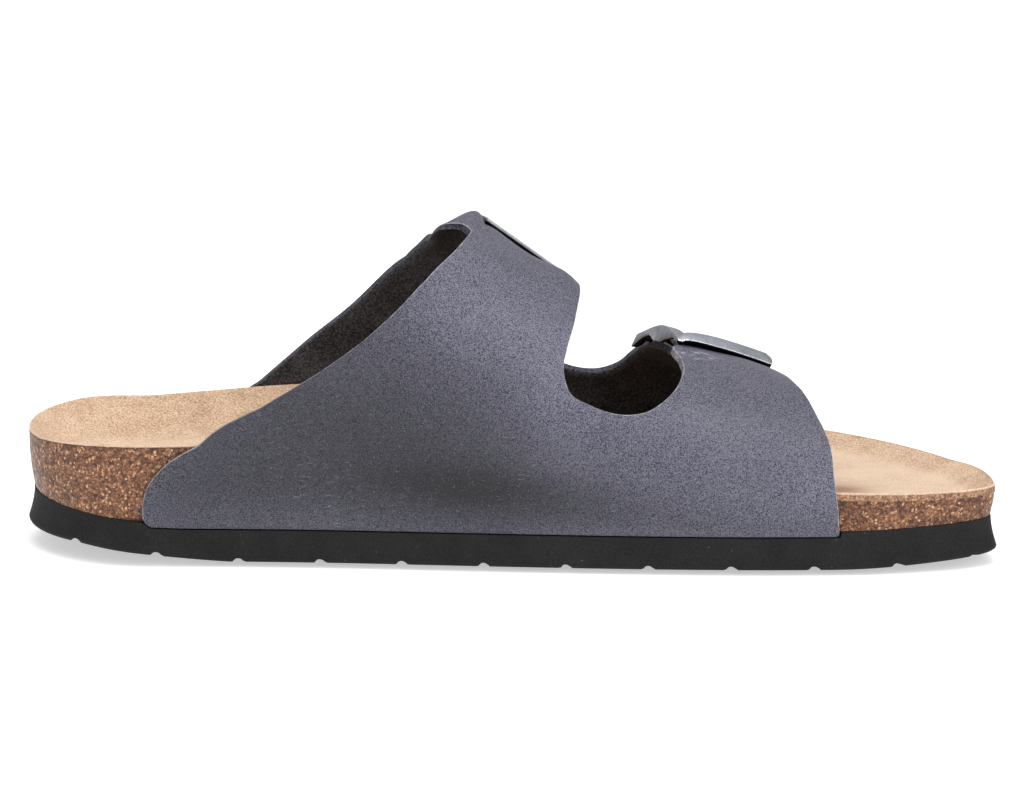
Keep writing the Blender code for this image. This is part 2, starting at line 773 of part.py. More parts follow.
def buckle_prong(buckle):
    """Round prong from the pivot bar, up through the strap's hole and on to the tip bar."""
    over_tip = frame_lift(0.0) + FRAME_THICKNESS / 2 + FIT_GAP + PRONG_RADIUS
    over_strap = strap_top(buckle, PRONG_HOLE_PAST) + FIT_GAP + PRONG_RADIUS
    root = FRAME_WIDTH - FRAME_BAR / 2 - FIT_GAP - PRONG_RADIUS
    rows = (
        (root, frame_lift(root) - FIT_GAP),
        (PRONG_HOLE_PAST + 0.6, frame_lift(root)),
        (PRONG_HOLE_PAST + 0.2, frame_lift(root) + 1.6),
        (PRONG_HOLE_PAST, over_strap - 0.4),
        (PRONG_HOLE_PAST - 1.2, over_strap + 0.5),
        (FRAME_WIDTH * 0.4, (over_strap + over_tip) / 2 + 0.6),
        (1.5, over_tip),
        (-FRAME_BAR / 2 - 0.2, over_tip - 0.1),
    )
    points = [placed(*buckle_point(buckle, 0.0, past, lift)) for past, lift in rows]
    prong = tube(f"{buckle.name}_buckle_prong", points, PRONG_RADIUS, 1)
    prong.data.materials.append(material("metal"))
    bpy.data.collections["slide_sandal"].objects.link(prong)
    return prong


def strap_top(buckle, past):
    """Height of the strap's upper face over the foot form on the buckle's middle line."""
    return strap_lift(buckle, *buckle_place(buckle, 0.0, past)) + WALL


def prong_hole(buckle):
    """Cutter through the strap alone for the prong."""
    top = strap_top(buckle, PRONG_HOLE_PAST)
    points = [
        placed(*buckle_point(buckle, 0.0, PRONG_HOLE_PAST, lift)) for lift in (top - WALL - 1.2, top + 2.0)
    ]
    return tube(f"{buckle.name}_prong_hole", points, PRONG_HOLE_RADIUS, 1)


def main():
    """Builds the sandal."""
    for obj in list(bpy.data.objects):
        bpy.data.objects.remove(obj)
    for name in ("slide_sandal", "cutters"):
        bpy.context.scene.collection.children.link(bpy.data.collections.new(name))
    outsole()
    footbed()
    insole()
    upper()
    for buckle in BUCKLES:
        buckle_frame(buckle)
        buckle_prong(buckle)


main()
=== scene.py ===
"""Looks of a left slide sandal: leather quarters, cork footbed, suede insole, foam sole and pewter buckles.

Tables and sizes are in millimetres, and become metres when a mesh is made. Station is the distance
from the back of the heel towards the toe, -Y is the inner (big toe) side and Z the height over the floor.
Girth runs round the foot: -1 at the inner sole edge, 0 on the instep ridge, +1 at the outer sole edge.
"""

from __future__ import annotations

import logging
import math
from dataclasses import dataclass
from enum import Enum
from functools import cached_property
from typing import Any, Callable, NamedTuple, Optional, Sequence, TypeVar, Union

import bmesh
import bpy
import numpy as np
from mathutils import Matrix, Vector

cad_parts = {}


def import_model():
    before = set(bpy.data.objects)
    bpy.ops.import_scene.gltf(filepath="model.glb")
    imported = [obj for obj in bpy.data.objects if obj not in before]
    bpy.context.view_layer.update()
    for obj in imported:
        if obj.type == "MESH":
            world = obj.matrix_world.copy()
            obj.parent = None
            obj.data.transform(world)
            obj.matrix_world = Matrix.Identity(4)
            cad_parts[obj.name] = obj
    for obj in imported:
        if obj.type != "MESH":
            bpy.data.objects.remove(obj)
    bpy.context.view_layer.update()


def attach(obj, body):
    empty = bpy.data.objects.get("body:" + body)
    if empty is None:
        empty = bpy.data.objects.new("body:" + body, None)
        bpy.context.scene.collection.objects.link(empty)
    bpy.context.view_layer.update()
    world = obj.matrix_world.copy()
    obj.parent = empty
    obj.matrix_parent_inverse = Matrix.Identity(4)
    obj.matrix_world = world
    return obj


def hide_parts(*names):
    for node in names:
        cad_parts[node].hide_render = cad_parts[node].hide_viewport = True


LOG = logging.getLogger("sandal")
MM = 0.001
# Length of leather to one unit of girth at the buckles, in millimetres
GIRTH_LENGTH = 108.0
# Signs and starting angle of each corner of a rectangle, once round
QUADRANTS = ((1, 1, 0), (-1, 1, 90), (-1, -1, 180), (1, -1, 270))

Array = np.ndarray
Colour = tuple[float, float, float]
Face = tuple[int, ...]
Material = bpy.types.Material
Object = bpy.types.Object
Socket = bpy.types.NodeSocket
Row = TypeVar("Row")


class Slot(Enum):
    """Material slots of the record."""

    FOAM = "sole_foam"
    CORK = "cork"
    SUEDE = "suede"
    LEATHER = "leather"
    METAL = "metal"


class Side(Enum):
    """Which quarter of the upper."""

    INNER = "inner"
    OUTER = "outer"


class Edge(NamedTuple):
    """Point of the plan outline."""

    station: float
    y: float


class Bed(NamedTuple):
    """Section of the footbed: rim heights, floor of the dish and width of its sloping sides."""

    station: float
    inner_rim: float
    outer_rim: float
    floor: float
    inner_slope: float
    outer_slope: float


class Ridge(NamedTuple):
    """Point of the instep ridge."""

    station: float
    y: float
    height: float


class Strap(NamedTuple):
    """Stations of a strap's back and front edges at a girth."""

    girth: float
    back: float
    front: float


class Cut(NamedTuple):
    """Point of a quarter's cut edge."""

    station: float
    girth: float


class Patch(NamedTuple):
    """Soft patch on the leather, at an angle to the station axis: a trough or ridge, a tone (partly the
    leather's own, partly painted shade and light) or a scuff.
    """

    station: float
    girth: float
    angle: float
    length: float
    width: float
    amount: float


class Corner(NamedTuple):
    """Point of a bar's section: its place, shares of the flange's and lip's drop, and its shine: above 0 a
    painted highlight mixed with rubbed wear, below 0 painted shade.
    """

    out: float
    up: float
    flange: float
    lip: float
    shine: float
    tip_shine: float


class PaintedShadeSpot(NamedTuple):
    """Dark spot of painted shade on the suede, by the upper's front edge: its middle, half its length and
    width, and its strength.
    """

    station: float
    y: float
    length: float
    width: float
    amount: float


class Bend(NamedTuple):
    """Point of a prong's middle line, counted from the strap's hole or from the tip bar."""

    past: float
    lift: float


def table(kind: Callable[..., Row], *rows: tuple[float, ...]) -> tuple[Row, ...]:
    """Rows of a table, with their columns named."""
    return tuple(kind(*row) for row in rows)


class SmoothCurve:
    """Cubic curve through the rows of a table, level beyond its ends."""

    def __init__(self, xs: Sequence[float], ys: Sequence[float]) -> None:
        """Takes the table's two columns."""
        self.xs = np.asarray(xs, float)
        self.ys = np.asarray(ys, float)
        self.slopes = np.gradient(self.ys, self.xs)

    @classmethod
    def of(cls, rows: Sequence[Any], value: str, by: str = "station") -> SmoothCurve:
        """Curve of one named column over another."""
        return cls([getattr(row, by) for row in rows], [getattr(row, value) for row in rows])

    def __call__(self, x: Array) -> Array:
        """Value of the curve.

        Args:
            x: Places along the table's first column.

        Returns:
            Values of its second column.
        """
        i = np.clip(np.searchsorted(self.xs, x) - 1, 0, len(self.xs) - 2)
        span = self.xs[i + 1] - self.xs[i]
        t = np.clip((x - self.xs[i]) / span, 0, 1)
        return (
            self.ys[i] * (1 + 2 * t) * (1 - t) ** 2
            + self.ys[i + 1] * t * t * (3 - 2 * t)
            + span * t * (1 - t) * (self.slopes[i] * (1 - t) - self.slopes[i + 1] * t)
        )


def smooth_step(x: Array) -> Array:
    """0 below 0, 1 above 1, smooth between."""
    x = np.clip(x, 0.0, 1.0)
    return x * x * (3 - 2 * x)


class Blend(NamedTuple):
    """Smooth change from 0 at its start to 1 a length further on."""

    start: float
    length: float

    def __call__(self, x: Array) -> Array:
        """Share of the change at a place."""
        return smooth_step((x - self.start) / self.length)


def unit(vectors: Array) -> Array:
    """Vectors of length 1."""
    return vectors / np.linalg.norm(vectors, axis=-1, keepdims=True)


def travelled(points: Array, axis: int = 0) -> Array:
    """Distances along lines of points, from 0 at their first."""
    steps = np.linalg.norm(np.diff(points, axis=axis), axis=-1)
    return np.insert(np.cumsum(steps, axis=axis), 0, 0.0, axis=axis)


def add_object(name: str, data: bpy.types.ID) -> Object:
    """Adds an object to the scene."""
    made = bpy.data.objects.new(name, data)
    bpy.context.scene.collection.objects.link(made)
    return made


def quarter(distance: Array, reach: float) -> Array:
    """Height of a quarter ellipse of unit height, from 1 at distance 0 to 0 at its reach."""
    return np.sqrt(np.maximum(0.0, 1 - (distance / reach) ** 2))


def ripple(points: Array, size: float, seed: float) -> Array:
    """Soft waves without a grid, from -1 to 1, as a sum of sines.

    Args:
        points: Array of (n, k) places in millimetres.
        size: Rough length of a wave.
        seed: Shift of the phases.

    Returns:
        Array of n heights.
    """
    waves = 5
    total = np.zeros(points.shape[:-1])
    for k in range(1, waves + 1):
        turn, stretch, phase = 2.4 * k + seed, 0.7 + 0.17 * k, 5.1 * k * seed
        direction = np.array([math.cos(turn), math.sin(turn), math.sin(1.7 * turn)])[: points.shape[-1]]
        total += np.sin(points @ direction * (2 * math.pi / size) * stretch + phase) / waves
    return total


# Node graphs


class Value:
    """A node's output socket. Arithmetic on it adds Math nodes."""

    def __init__(self, graph: Graph, socket: Socket) -> None:
        """Wraps a socket of a graph."""
        self.graph = graph
        self.socket = socket

    def _math(self, operation: str, first: Operand, second: Operand) -> Value:
        """Adds a Math node."""
        return self.graph.node("ShaderNodeMath", {"operation": operation}, {0: first, 1: second})

    def __add__(self, other: Operand) -> Value:
        """Sum."""
        return self._math("ADD", self, other)

    def __radd__(self, other: Operand) -> Value:
        """Sum, from the right."""
        return self._math("ADD", other, self)

    def __sub__(self, other: Operand) -> Value:
        """Difference."""
        return self._math("SUBTRACT", self, other)

    def __rsub__(self, other: Operand) -> Value:
        """Difference, from the right."""
        return self._math("SUBTRACT", other, self)

    def __mul__(self, other: Operand) -> Value:
        """Product."""
        return self._math("MULTIPLY", self, other)

    def __rmul__(self, other: Operand) -> Value:
        """Product, from the right."""
        return self._math("MULTIPLY", other, self)

    def band(self, low: float, high: float) -> Value:
        """0 at low and below, 1 at high and above, smooth between; falling where low is the larger."""
        inputs = {"Value": self, "From Min": low, "From Max": high}
        return self.graph.node("ShaderNodeMapRange", {"interpolation_type": "SMOOTHSTEP"}, inputs)


Operand = Union[Value, float]


class Graph:
    """Node tree of one material, with one method that adds any node."""

    def __init__(self, name: str) -> None:
        """Makes the material with its Principled shader."""
        self.material = bpy.data.materials.new(name)
        self.material.use_nodes = True
        self.tree = self.material.node_tree
        self.shader = self.tree.nodes["Principled BSDF"]

    def node(
        self,
        kind: str,
        settings: Optional[dict[str, Any]] = None,
        inputs: Optional[dict[Union[int, str], Any]] = None,
        output: Union[int, str] = 0,
    ) -> Value:
        """Adds a node.

        Args:
            kind: The node's type.
            settings: Its properties, set first. A ramp's stops are rows of place and colour.
            inputs: Values or links of its sockets.
            output: Which output to return.

        Returns:
            The output.
        """
        made = self.tree.nodes.new(kind)
        for key, setting in (settings or {}).items():
            if key == "stops":
                self._set_stops(made.color_ramp, setting)
            else:
                setattr(made, key, setting)
        for key, given in (inputs or {}).items():
            self.feed(made.inputs[key], given)
        return Value(self, made.outputs[output])

    @staticmethod
    def _set_stops(ramp: bpy.types.ColorRamp, stops: Sequence[tuple[float, Colour]]) -> None:
        """Gives a ramp its stops."""
        for _ in range(len(stops) - len(ramp.elements)):
            ramp.elements.new(0.5)
        for element, (place, colour) in zip(ramp.elements, stops):
            element.position = place
            element.color = (*colour, 1.0)

    def feed(self, socket: Socket, given: Any) -> None:
        """Links a socket to a value of this graph, or sets it."""
        if isinstance(given, Value):
            self.tree.links.new(given.socket, socket)
        elif isinstance(given, tuple) and len(given) == 3 and socket.type == "RGBA":
            socket.default_value = (*given, 1.0)
        else:
            socket.default_value = given

    def dress(self, **inputs: Any) -> Material:
        """Feeds the shader's sockets, named with underscores for spaces.

        Args:
            inputs: Values or links of the sockets.

        Returns:
            The material.
        """
        for name, given in inputs.items():
            words = name.replace("_", " ").title().replace("Ior", "IOR")
            self.feed(self.shader.inputs[words], given)
        return self.material

    @cached_property
    def place(self) -> Value:
        """Place in the sandal's frame, in millimetres."""
        where = self.node("ShaderNodeTexCoord", output="Object")
        return self.node("ShaderNodeVectorMath", {"operation": "SCALE"}, {0: where, "Scale": 1 / MM})

    def stretched(self, along: float, across: float, up: float) -> Value:
        """Place, scaled along each axis."""
        factors = (along, across, up)
        return self.node("ShaderNodeVectorMath", {"operation": "MULTIPLY"}, {0: self.place, 1: factors})

    def noise(
        self, size: float, detail: float = 3.0, rough: float = 0.5, at: Optional[Value] = None
    ) -> Value:
        """Noise with lumps of a size in millimetres."""
        inputs = {"Vector": at or self.place, "Scale": 1 / size, "Detail": detail, "Roughness": rough}
        return self.node("ShaderNodeTexNoise", None, inputs)

    def cells(
        self, size: float, feature: str = "F1", output: str = "Distance", at: Optional[Value] = None
    ) -> Value:
        """Voronoi cells of a size in millimetres."""
        inputs = {"Vector": at or self.place, "Scale": 1 / size}
        return self.node("ShaderNodeTexVoronoi", {"feature": feature}, inputs, output)

    def red(self, colour: Value) -> Value:
        """First channel of a colour."""
        return self.node("ShaderNodeSeparateColor", None, {0: colour})

    def mix(self, share: Operand, first: Any, second: Any) -> Value:
        """Blend of two colours."""
        return self.node("ShaderNodeMix", {"data_type": "RGBA"}, {0: share, 6: first, 7: second}, 2)

    def ramp(self, share: Value, stops: Sequence[tuple[float, Colour]]) -> Value:
        """Colour ramp."""
        return self.node("ShaderNodeValToRGB", {"stops": stops}, {0: share})

    def dimmed(self, colour: Any, by: Operand) -> Value:
        """Colour times a number."""
        return self.node("ShaderNodeVectorMath", {"operation": "SCALE"}, {0: colour, "Scale": by})

    def measure(self, name: str) -> Value:
        """Number that a mesh carries at its points."""
        return self.node("ShaderNodeAttribute", {"attribute_name": name}, None, "Fac")

    def bump(self, height: Value, depth: float) -> Value:
        """Normal of a relief that is depth millimetres high."""
        return self.node("ShaderNodeBump", None, {"Height": height, "Distance": depth * MM, "Strength": 1.0})


# Finishes


@dataclass(frozen=True)
class Leather:
    """Oiled slate leather: fine grain, cloudy colour, pale flecks, and edges where the dye has rubbed off."""

    name: str = "slate_leather"
    dark: Colour = (0.0212, 0.0200, 0.0440)
    light: Colour = (0.140, 0.138, 0.178)
    rubbed: Colour = (0.42, 0.42, 0.46)
    cloud: float = 30.0
    mottle: float = 5.0
    grain: float = 0.30
    fibre: float = 0.42
    pit: float = 0.46
    fleck: float = 0.42
    scratch: float = 0.5
    stroke: float = 1.1
    fray: float = 1.4
    pebble: float = 1.15
    wrinkle: float = 3.4
    rubbed_reach: float = 0.4
    depth: float = 0.18

    def material(self) -> Material:
        """Makes the material."""
        graph = Graph(self.name)
        cloud = graph.noise(self.cloud, 2.0, at=graph.stretched(0.8, 1.0, 1.5)) - 0.5
        mottle = graph.noise(self.mottle, 3.0, 0.6) - 0.5
        grain = graph.noise(self.grain, 1.0, 0.6).band(0.28, 0.72) - 0.5
        fibre = graph.noise(self.fibre, 1.0, 0.6, at=graph.stretched(0.55, 1.0, 1.0)).band(0.3, 0.7) - 0.5
        pits = graph.cells(self.pit) - 0.42
        share = 0.5 + cloud * 0.45 + mottle * 0.2 + grain * 1.7 + fibre * 0.5 + pits * 0.9
        colour = graph.mix(share.band(-0.1, 1.1), self.dark, self.light)
        # Tone patches from the mesh: in part the leather's own tone, in part painted shade (a darker band low
        # along the foot, shadowed bands) and painted light towards the top and front.
        colour = graph.dimmed(colour, 1 + graph.measure("tone"))
        fleck = graph.noise(self.fleck, 2.0, 0.6).band(0.6, 0.76)
        line = graph.noise(self.scratch, 2.0, 0.5, at=graph.stretched(0.16, 0.6, 1.0)).band(0.62, 0.72)
        colour = graph.mix(fleck * 0.32 + line * cloud.band(-0.05, 0.15) * 0.15, colour, self.rubbed)
        stroke = graph.noise(self.stroke, 3.0, 0.65, at=graph.stretched(0.45, 1.0, 1.3)).band(0.52, 0.66)
        colour = graph.mix(graph.measure("wear") * stroke, colour, self.rubbed)
        edge = graph.measure("cut_edge") + graph.noise(self.fray, 3.0, 0.6) * 0.9 - 0.42
        colour = graph.mix(edge.band(self.rubbed_reach, 0.02) * 0.85, colour, self.rubbed)
        pebbles = graph.cells(self.pebble, "DISTANCE_TO_EDGE").band(0.0, 0.22)
        wrinkles = graph.noise(self.wrinkle, 3.0, 0.55, at=graph.stretched(0.5, 1.0, 1.6))
        relief = grain * 0.1 + pebbles * 0.25 + wrinkles * 0.9 + fibre * 0.1
        return graph.dress(
            base_color=colour,
            roughness=(0.56 - mottle * 0.2 + grain * 0.06),
            normal=graph.bump(relief, self.depth),
            specular_ior_level=0.45,
            sheen_weight=0.05,
            sheen_roughness=0.5,
        )


@dataclass(frozen=True)
class CutEdge:
    """Dyed edge of the cut leather, with its fibres showing."""

    name: str = "leather_cut_edge"
    dark: Colour = (0.012, 0.013, 0.018)
    light: Colour = (0.115, 0.120, 0.150)
    fluff: Colour = (0.38, 0.39, 0.43)
    fibre: float = 0.6
    patch: float = 4.0
    depth: float = 0.25

    def material(self) -> Material:
        """Makes the material."""
        graph = Graph(self.name)
        fibres = graph.noise(self.fibre, 3.0, 0.7)
        patches = graph.noise(self.patch, 3.0)
        colour = graph.mix((fibres * 1.1 + patches * 0.4 - 0.25).band(0.28, 0.72), self.dark, self.light)
        colour = graph.mix(fibres.band(0.6, 0.75) * 0.5, colour, self.fluff)
        relief = graph.bump(fibres, self.depth)
        return graph.dress(base_color=colour, roughness=0.85, normal=relief, specular_ior_level=0.25)


@dataclass(frozen=True)
class Lining:
    """Black-brown suede side of the leather."""

    name: str = "suede_lining"
    dark: Colour = (0.0062, 0.0058, 0.0061)
    light: Colour = (0.055, 0.051, 0.053)
    rear_dark: Colour = (0.018, 0.0175, 0.019)
    rear_light: Colour = (0.120, 0.117, 0.127)
    fluff: Colour = (0.135, 0.140, 0.170)
    fluff_reach: float = 4.5
    nap: float = 0.6
    patch: float = 11.0
    depth: float = 0.3

    def material(self) -> Material:
        """Makes the material."""
        graph = Graph(self.name)
        nap = graph.noise(self.nap, 3.0, 0.7)
        patches = graph.noise(self.patch, 3.0)
        share = (nap * 1.2 + patches * 0.4 - 0.3).band(0.3, 0.85)
        brushed = graph.mix(share, self.rear_dark, self.rear_light)
        colour = graph.mix(graph.measure("brushed"), graph.mix(share, self.dark, self.light), brushed)
        near = (graph.measure("cut_edge") * (1 / self.fluff_reach) + patches * 0.8).band(1.1, 0.3)
        colour = graph.mix(near * nap.band(0.3, 0.7), colour, self.fluff)
        relief = graph.bump(nap, self.depth)
        return graph.dress(base_color=colour, roughness=0.95, normal=relief, specular_ior_level=0.12)


@dataclass(frozen=True)
class Cork:
    """Pressed cork granules under a thin clear seal, paler on the trimmed lip, with a painted shadow line
    along its top edge under the suede, except round the toe.
    """

    name: str = "granulated_cork"
    granule: float = 1.15
    crumb: float = 0.6
    flake: float = 0.95
    speck: float = 0.35
    warp_size: float = 1.1
    warp: float = 0.9
    depth: float = 0.13
    # Dark colour of the real gaps between granules, also used for the painted shadow line along the top edge.
    joint_and_seam_shade: Colour = (0.040, 0.015, 0.008)
    chip: Colour = (0.78, 0.45, 0.24)
    lip: Colour = (0.56, 0.325, 0.195)
    browns: tuple[tuple[float, Colour], ...] = (
        (0.0, (0.048, 0.017, 0.008)),
        (0.32, (0.158, 0.060, 0.027)),
        (0.62, (0.285, 0.121, 0.056)),
        (0.86, (0.470, 0.220, 0.104)),
        (1.0, (0.710, 0.410, 0.225)),
    )

    def material(self) -> Material:
        """Makes the material."""
        graph = Graph(self.name)
        warp = graph.noise(self.warp_size, 2.0)
        shift = graph.dimmed(warp, self.warp)
        bent = graph.node("ShaderNodeVectorMath", {"operation": "ADD"}, {0: graph.place, 1: shift})
        coarse = graph.red(graph.cells(self.granule, "F1", "Color", bent))
        fine = graph.red(graph.cells(self.crumb, "F1", "Color", bent))
        speck = graph.noise(self.speck, 3.0, 0.7)
        tone = 0.46 + (coarse - 0.5) * 0.5 + (fine - 0.5) * 0.6 + (speck - 0.5) * 1.4
        colour = graph.ramp(tone, self.browns)
        gaps = graph.cells(self.granule, "DISTANCE_TO_EDGE", at=bent).band(0.14, 0.0)
        colour = graph.mix(gaps * speck.band(0.35, 0.6) * 0.75, colour, self.joint_and_seam_shade)
        chips = graph.red(graph.cells(self.flake, "F1", "Color", bent)).band(0.86, 0.9)
        colour = graph.mix(chips * graph.cells(self.flake, at=bent).band(0.5, 0.3) * 0.8, colour, self.chip)
        colour = graph.mix(graph.measure("lip") * (0.12 + fine * 0.6), colour, self.lip)
        # Painted shadow: dark line along the cork's top edge, where the suede's edge shades it.
        colour = graph.mix(graph.measure("seam_shadow") * 0.7, colour, self.joint_and_seam_shade)
        relief = coarse * 0.4 + fine * 0.3 + speck * 0.5 - gaps * 0.8
        return graph.dress(
            base_color=colour,
            roughness=(0.7 - speck * 0.2),
            normal=graph.bump(relief, self.depth),
            coat_weight=(0.22 + coarse * 0.15),
            coat_roughness=0.28,
            specular_ior_level=0.35,
        )


@dataclass(frozen=True)
class Suede:
    """Pale tan suede with a short nap, lighter on the dish's floor (nap pressed flat, plus painted light) and
    with a spot of painted shade by the upper's front edge.
    """

    name: str = "tan_suede"
    deep: Colour = (0.36, 0.212, 0.122)
    tan: Colour = (0.676, 0.470, 0.322)
    pale: Colour = (0.880, 0.690, 0.525)
    # Lighter colour of the dish's floor: pressed nap, and painted light that the floor takes over the darker
    # banks.
    pressed: Colour = (0.845, 0.645, 0.480)
    nap: float = 0.5
    patch: float = 16.0
    brush: float = 2.6
    depth: float = 0.3

    def material(self) -> Material:
        """Makes the material."""
        graph = Graph(self.name)
        nap = graph.noise(self.nap, 2.0, 0.7) - 0.5
        patches = graph.noise(self.patch, 4.0, 0.6) - 0.5
        brushed = graph.noise(self.brush, 3.0, 0.6, at=graph.stretched(0.45, 1.0, 1.0)) - 0.5
        tone = 0.5 + nap * 1.9 + patches * 0.6 + brushed * 0.35
        colour = graph.ramp(tone, ((0.08, self.deep), (0.5, self.tan), (0.92, self.pale)))
        # Lighter floor of the dish: nap pressed flat, and painted light, as the floor is lit more than the
        # banks.
        flattened_and_lit = graph.measure("pressed") * (0.58 + patches * 0.6)
        colour = graph.mix(flattened_and_lit, colour, self.pressed)
        colour = graph.mix(graph.measure("cut") * 0.35, colour, self.pale)
        # Painted shade: dark spot on the suede where the upper's front edge shades it.
        colour = graph.mix(graph.measure("painted_shade_spot") * (0.8 + nap), colour, self.deep)
        return graph.dress(
            base_color=colour,
            roughness=0.93,
            normal=graph.bump(nap * 0.8 + brushed * 0.3, self.depth),
            specular_ior_level=0.15,
            sheen_weight=0.12,
            sheen_roughness=0.45,
        )


@dataclass(frozen=True)
class Foam:
    """Black foamed rubber, matt, with fine pale specks."""

    name: str = "black_foam"
    dark: Colour = (0.005, 0.005, 0.0052)
    light: Colour = (0.018, 0.0174, 0.018)
    speck: Colour = (0.11, 0.11, 0.115)
    pore: float = 0.5
    patch: float = 9.0
    dust: float = 2.2
    depth: float = 0.12

    def material(self) -> Material:
        """Makes the material."""
        graph = Graph(self.name)
        pores = graph.noise(self.pore, 3.0, 0.7)
        patches = graph.noise(self.patch, 3.0)
        colour = graph.mix((pores * 1.3 + patches * 0.5 - 0.4).band(0.2, 0.8), self.dark, self.light)
        dust = graph.cells(self.dust).band(0.11, 0.05) * patches.band(0.5, 0.62)
        colour = graph.mix(dust, colour, self.speck)
        return graph.dress(
            base_color=colour,
            roughness=(0.68 + pores * 0.15),
            normal=graph.bump(pores, self.depth),
            specular_ior_level=0.27,
        )


@dataclass(frozen=True)
class Pewter:
    """Antique silver: dark in its dents, bright along rubbed bevels that also carry a painted highlight, with
    painted shade on the faces underneath.
    """

    name: str = "antique_pewter"
    dark: Colour = (0.29, 0.30, 0.34)
    bright: Colour = (0.51, 0.525, 0.58)
    # Bright colour of rubbed edges, also used as a painted highlight along the bevels.
    highlight_and_wear: Colour = (0.88, 0.88, 0.88)
    # Painted shade: near black for the bar faces that turn down towards the strap.
    painted_shade: Colour = (0.012, 0.012, 0.013)
    dent: float = 0.8
    tarnish: float = 3.6
    depth: float = 0.03

    def material(self) -> Material:
        """Makes the material."""
        graph = Graph(self.name)
        dents = graph.noise(self.dent, 2.0, 0.6)
        tarnish = graph.noise(self.tarnish, 3.0, 0.6)
        share = (dents * 0.35 + tarnish * 0.9 - 0.12).band(0.2, 0.8)
        colour = graph.mix(share, self.dark, self.bright)
        # Shine from the mesh: above 0 a painted highlight on the bevels, mixed with rubbed wear; below 0
        # painted shade under the bars.
        shine = graph.measure("shine")
        highlight_and_wear = shine.band(0.1, 0.95) * dents.band(0.3, 0.5)
        colour = graph.mix(highlight_and_wear, colour, self.highlight_and_wear)
        # Painted shade: near black on the faces that turn down towards the strap.
        painted_shade = shine.band(-0.1, -0.8)
        return graph.dress(
            base_color=graph.mix(painted_shade, colour, self.painted_shade),
            metallic=1.0,
            roughness=(0.46 - share * 0.12 - highlight_and_wear * 0.1 + painted_shade * 0.4),
            normal=graph.bump(dents, self.depth),
        )


# Shapes shared by the pieces


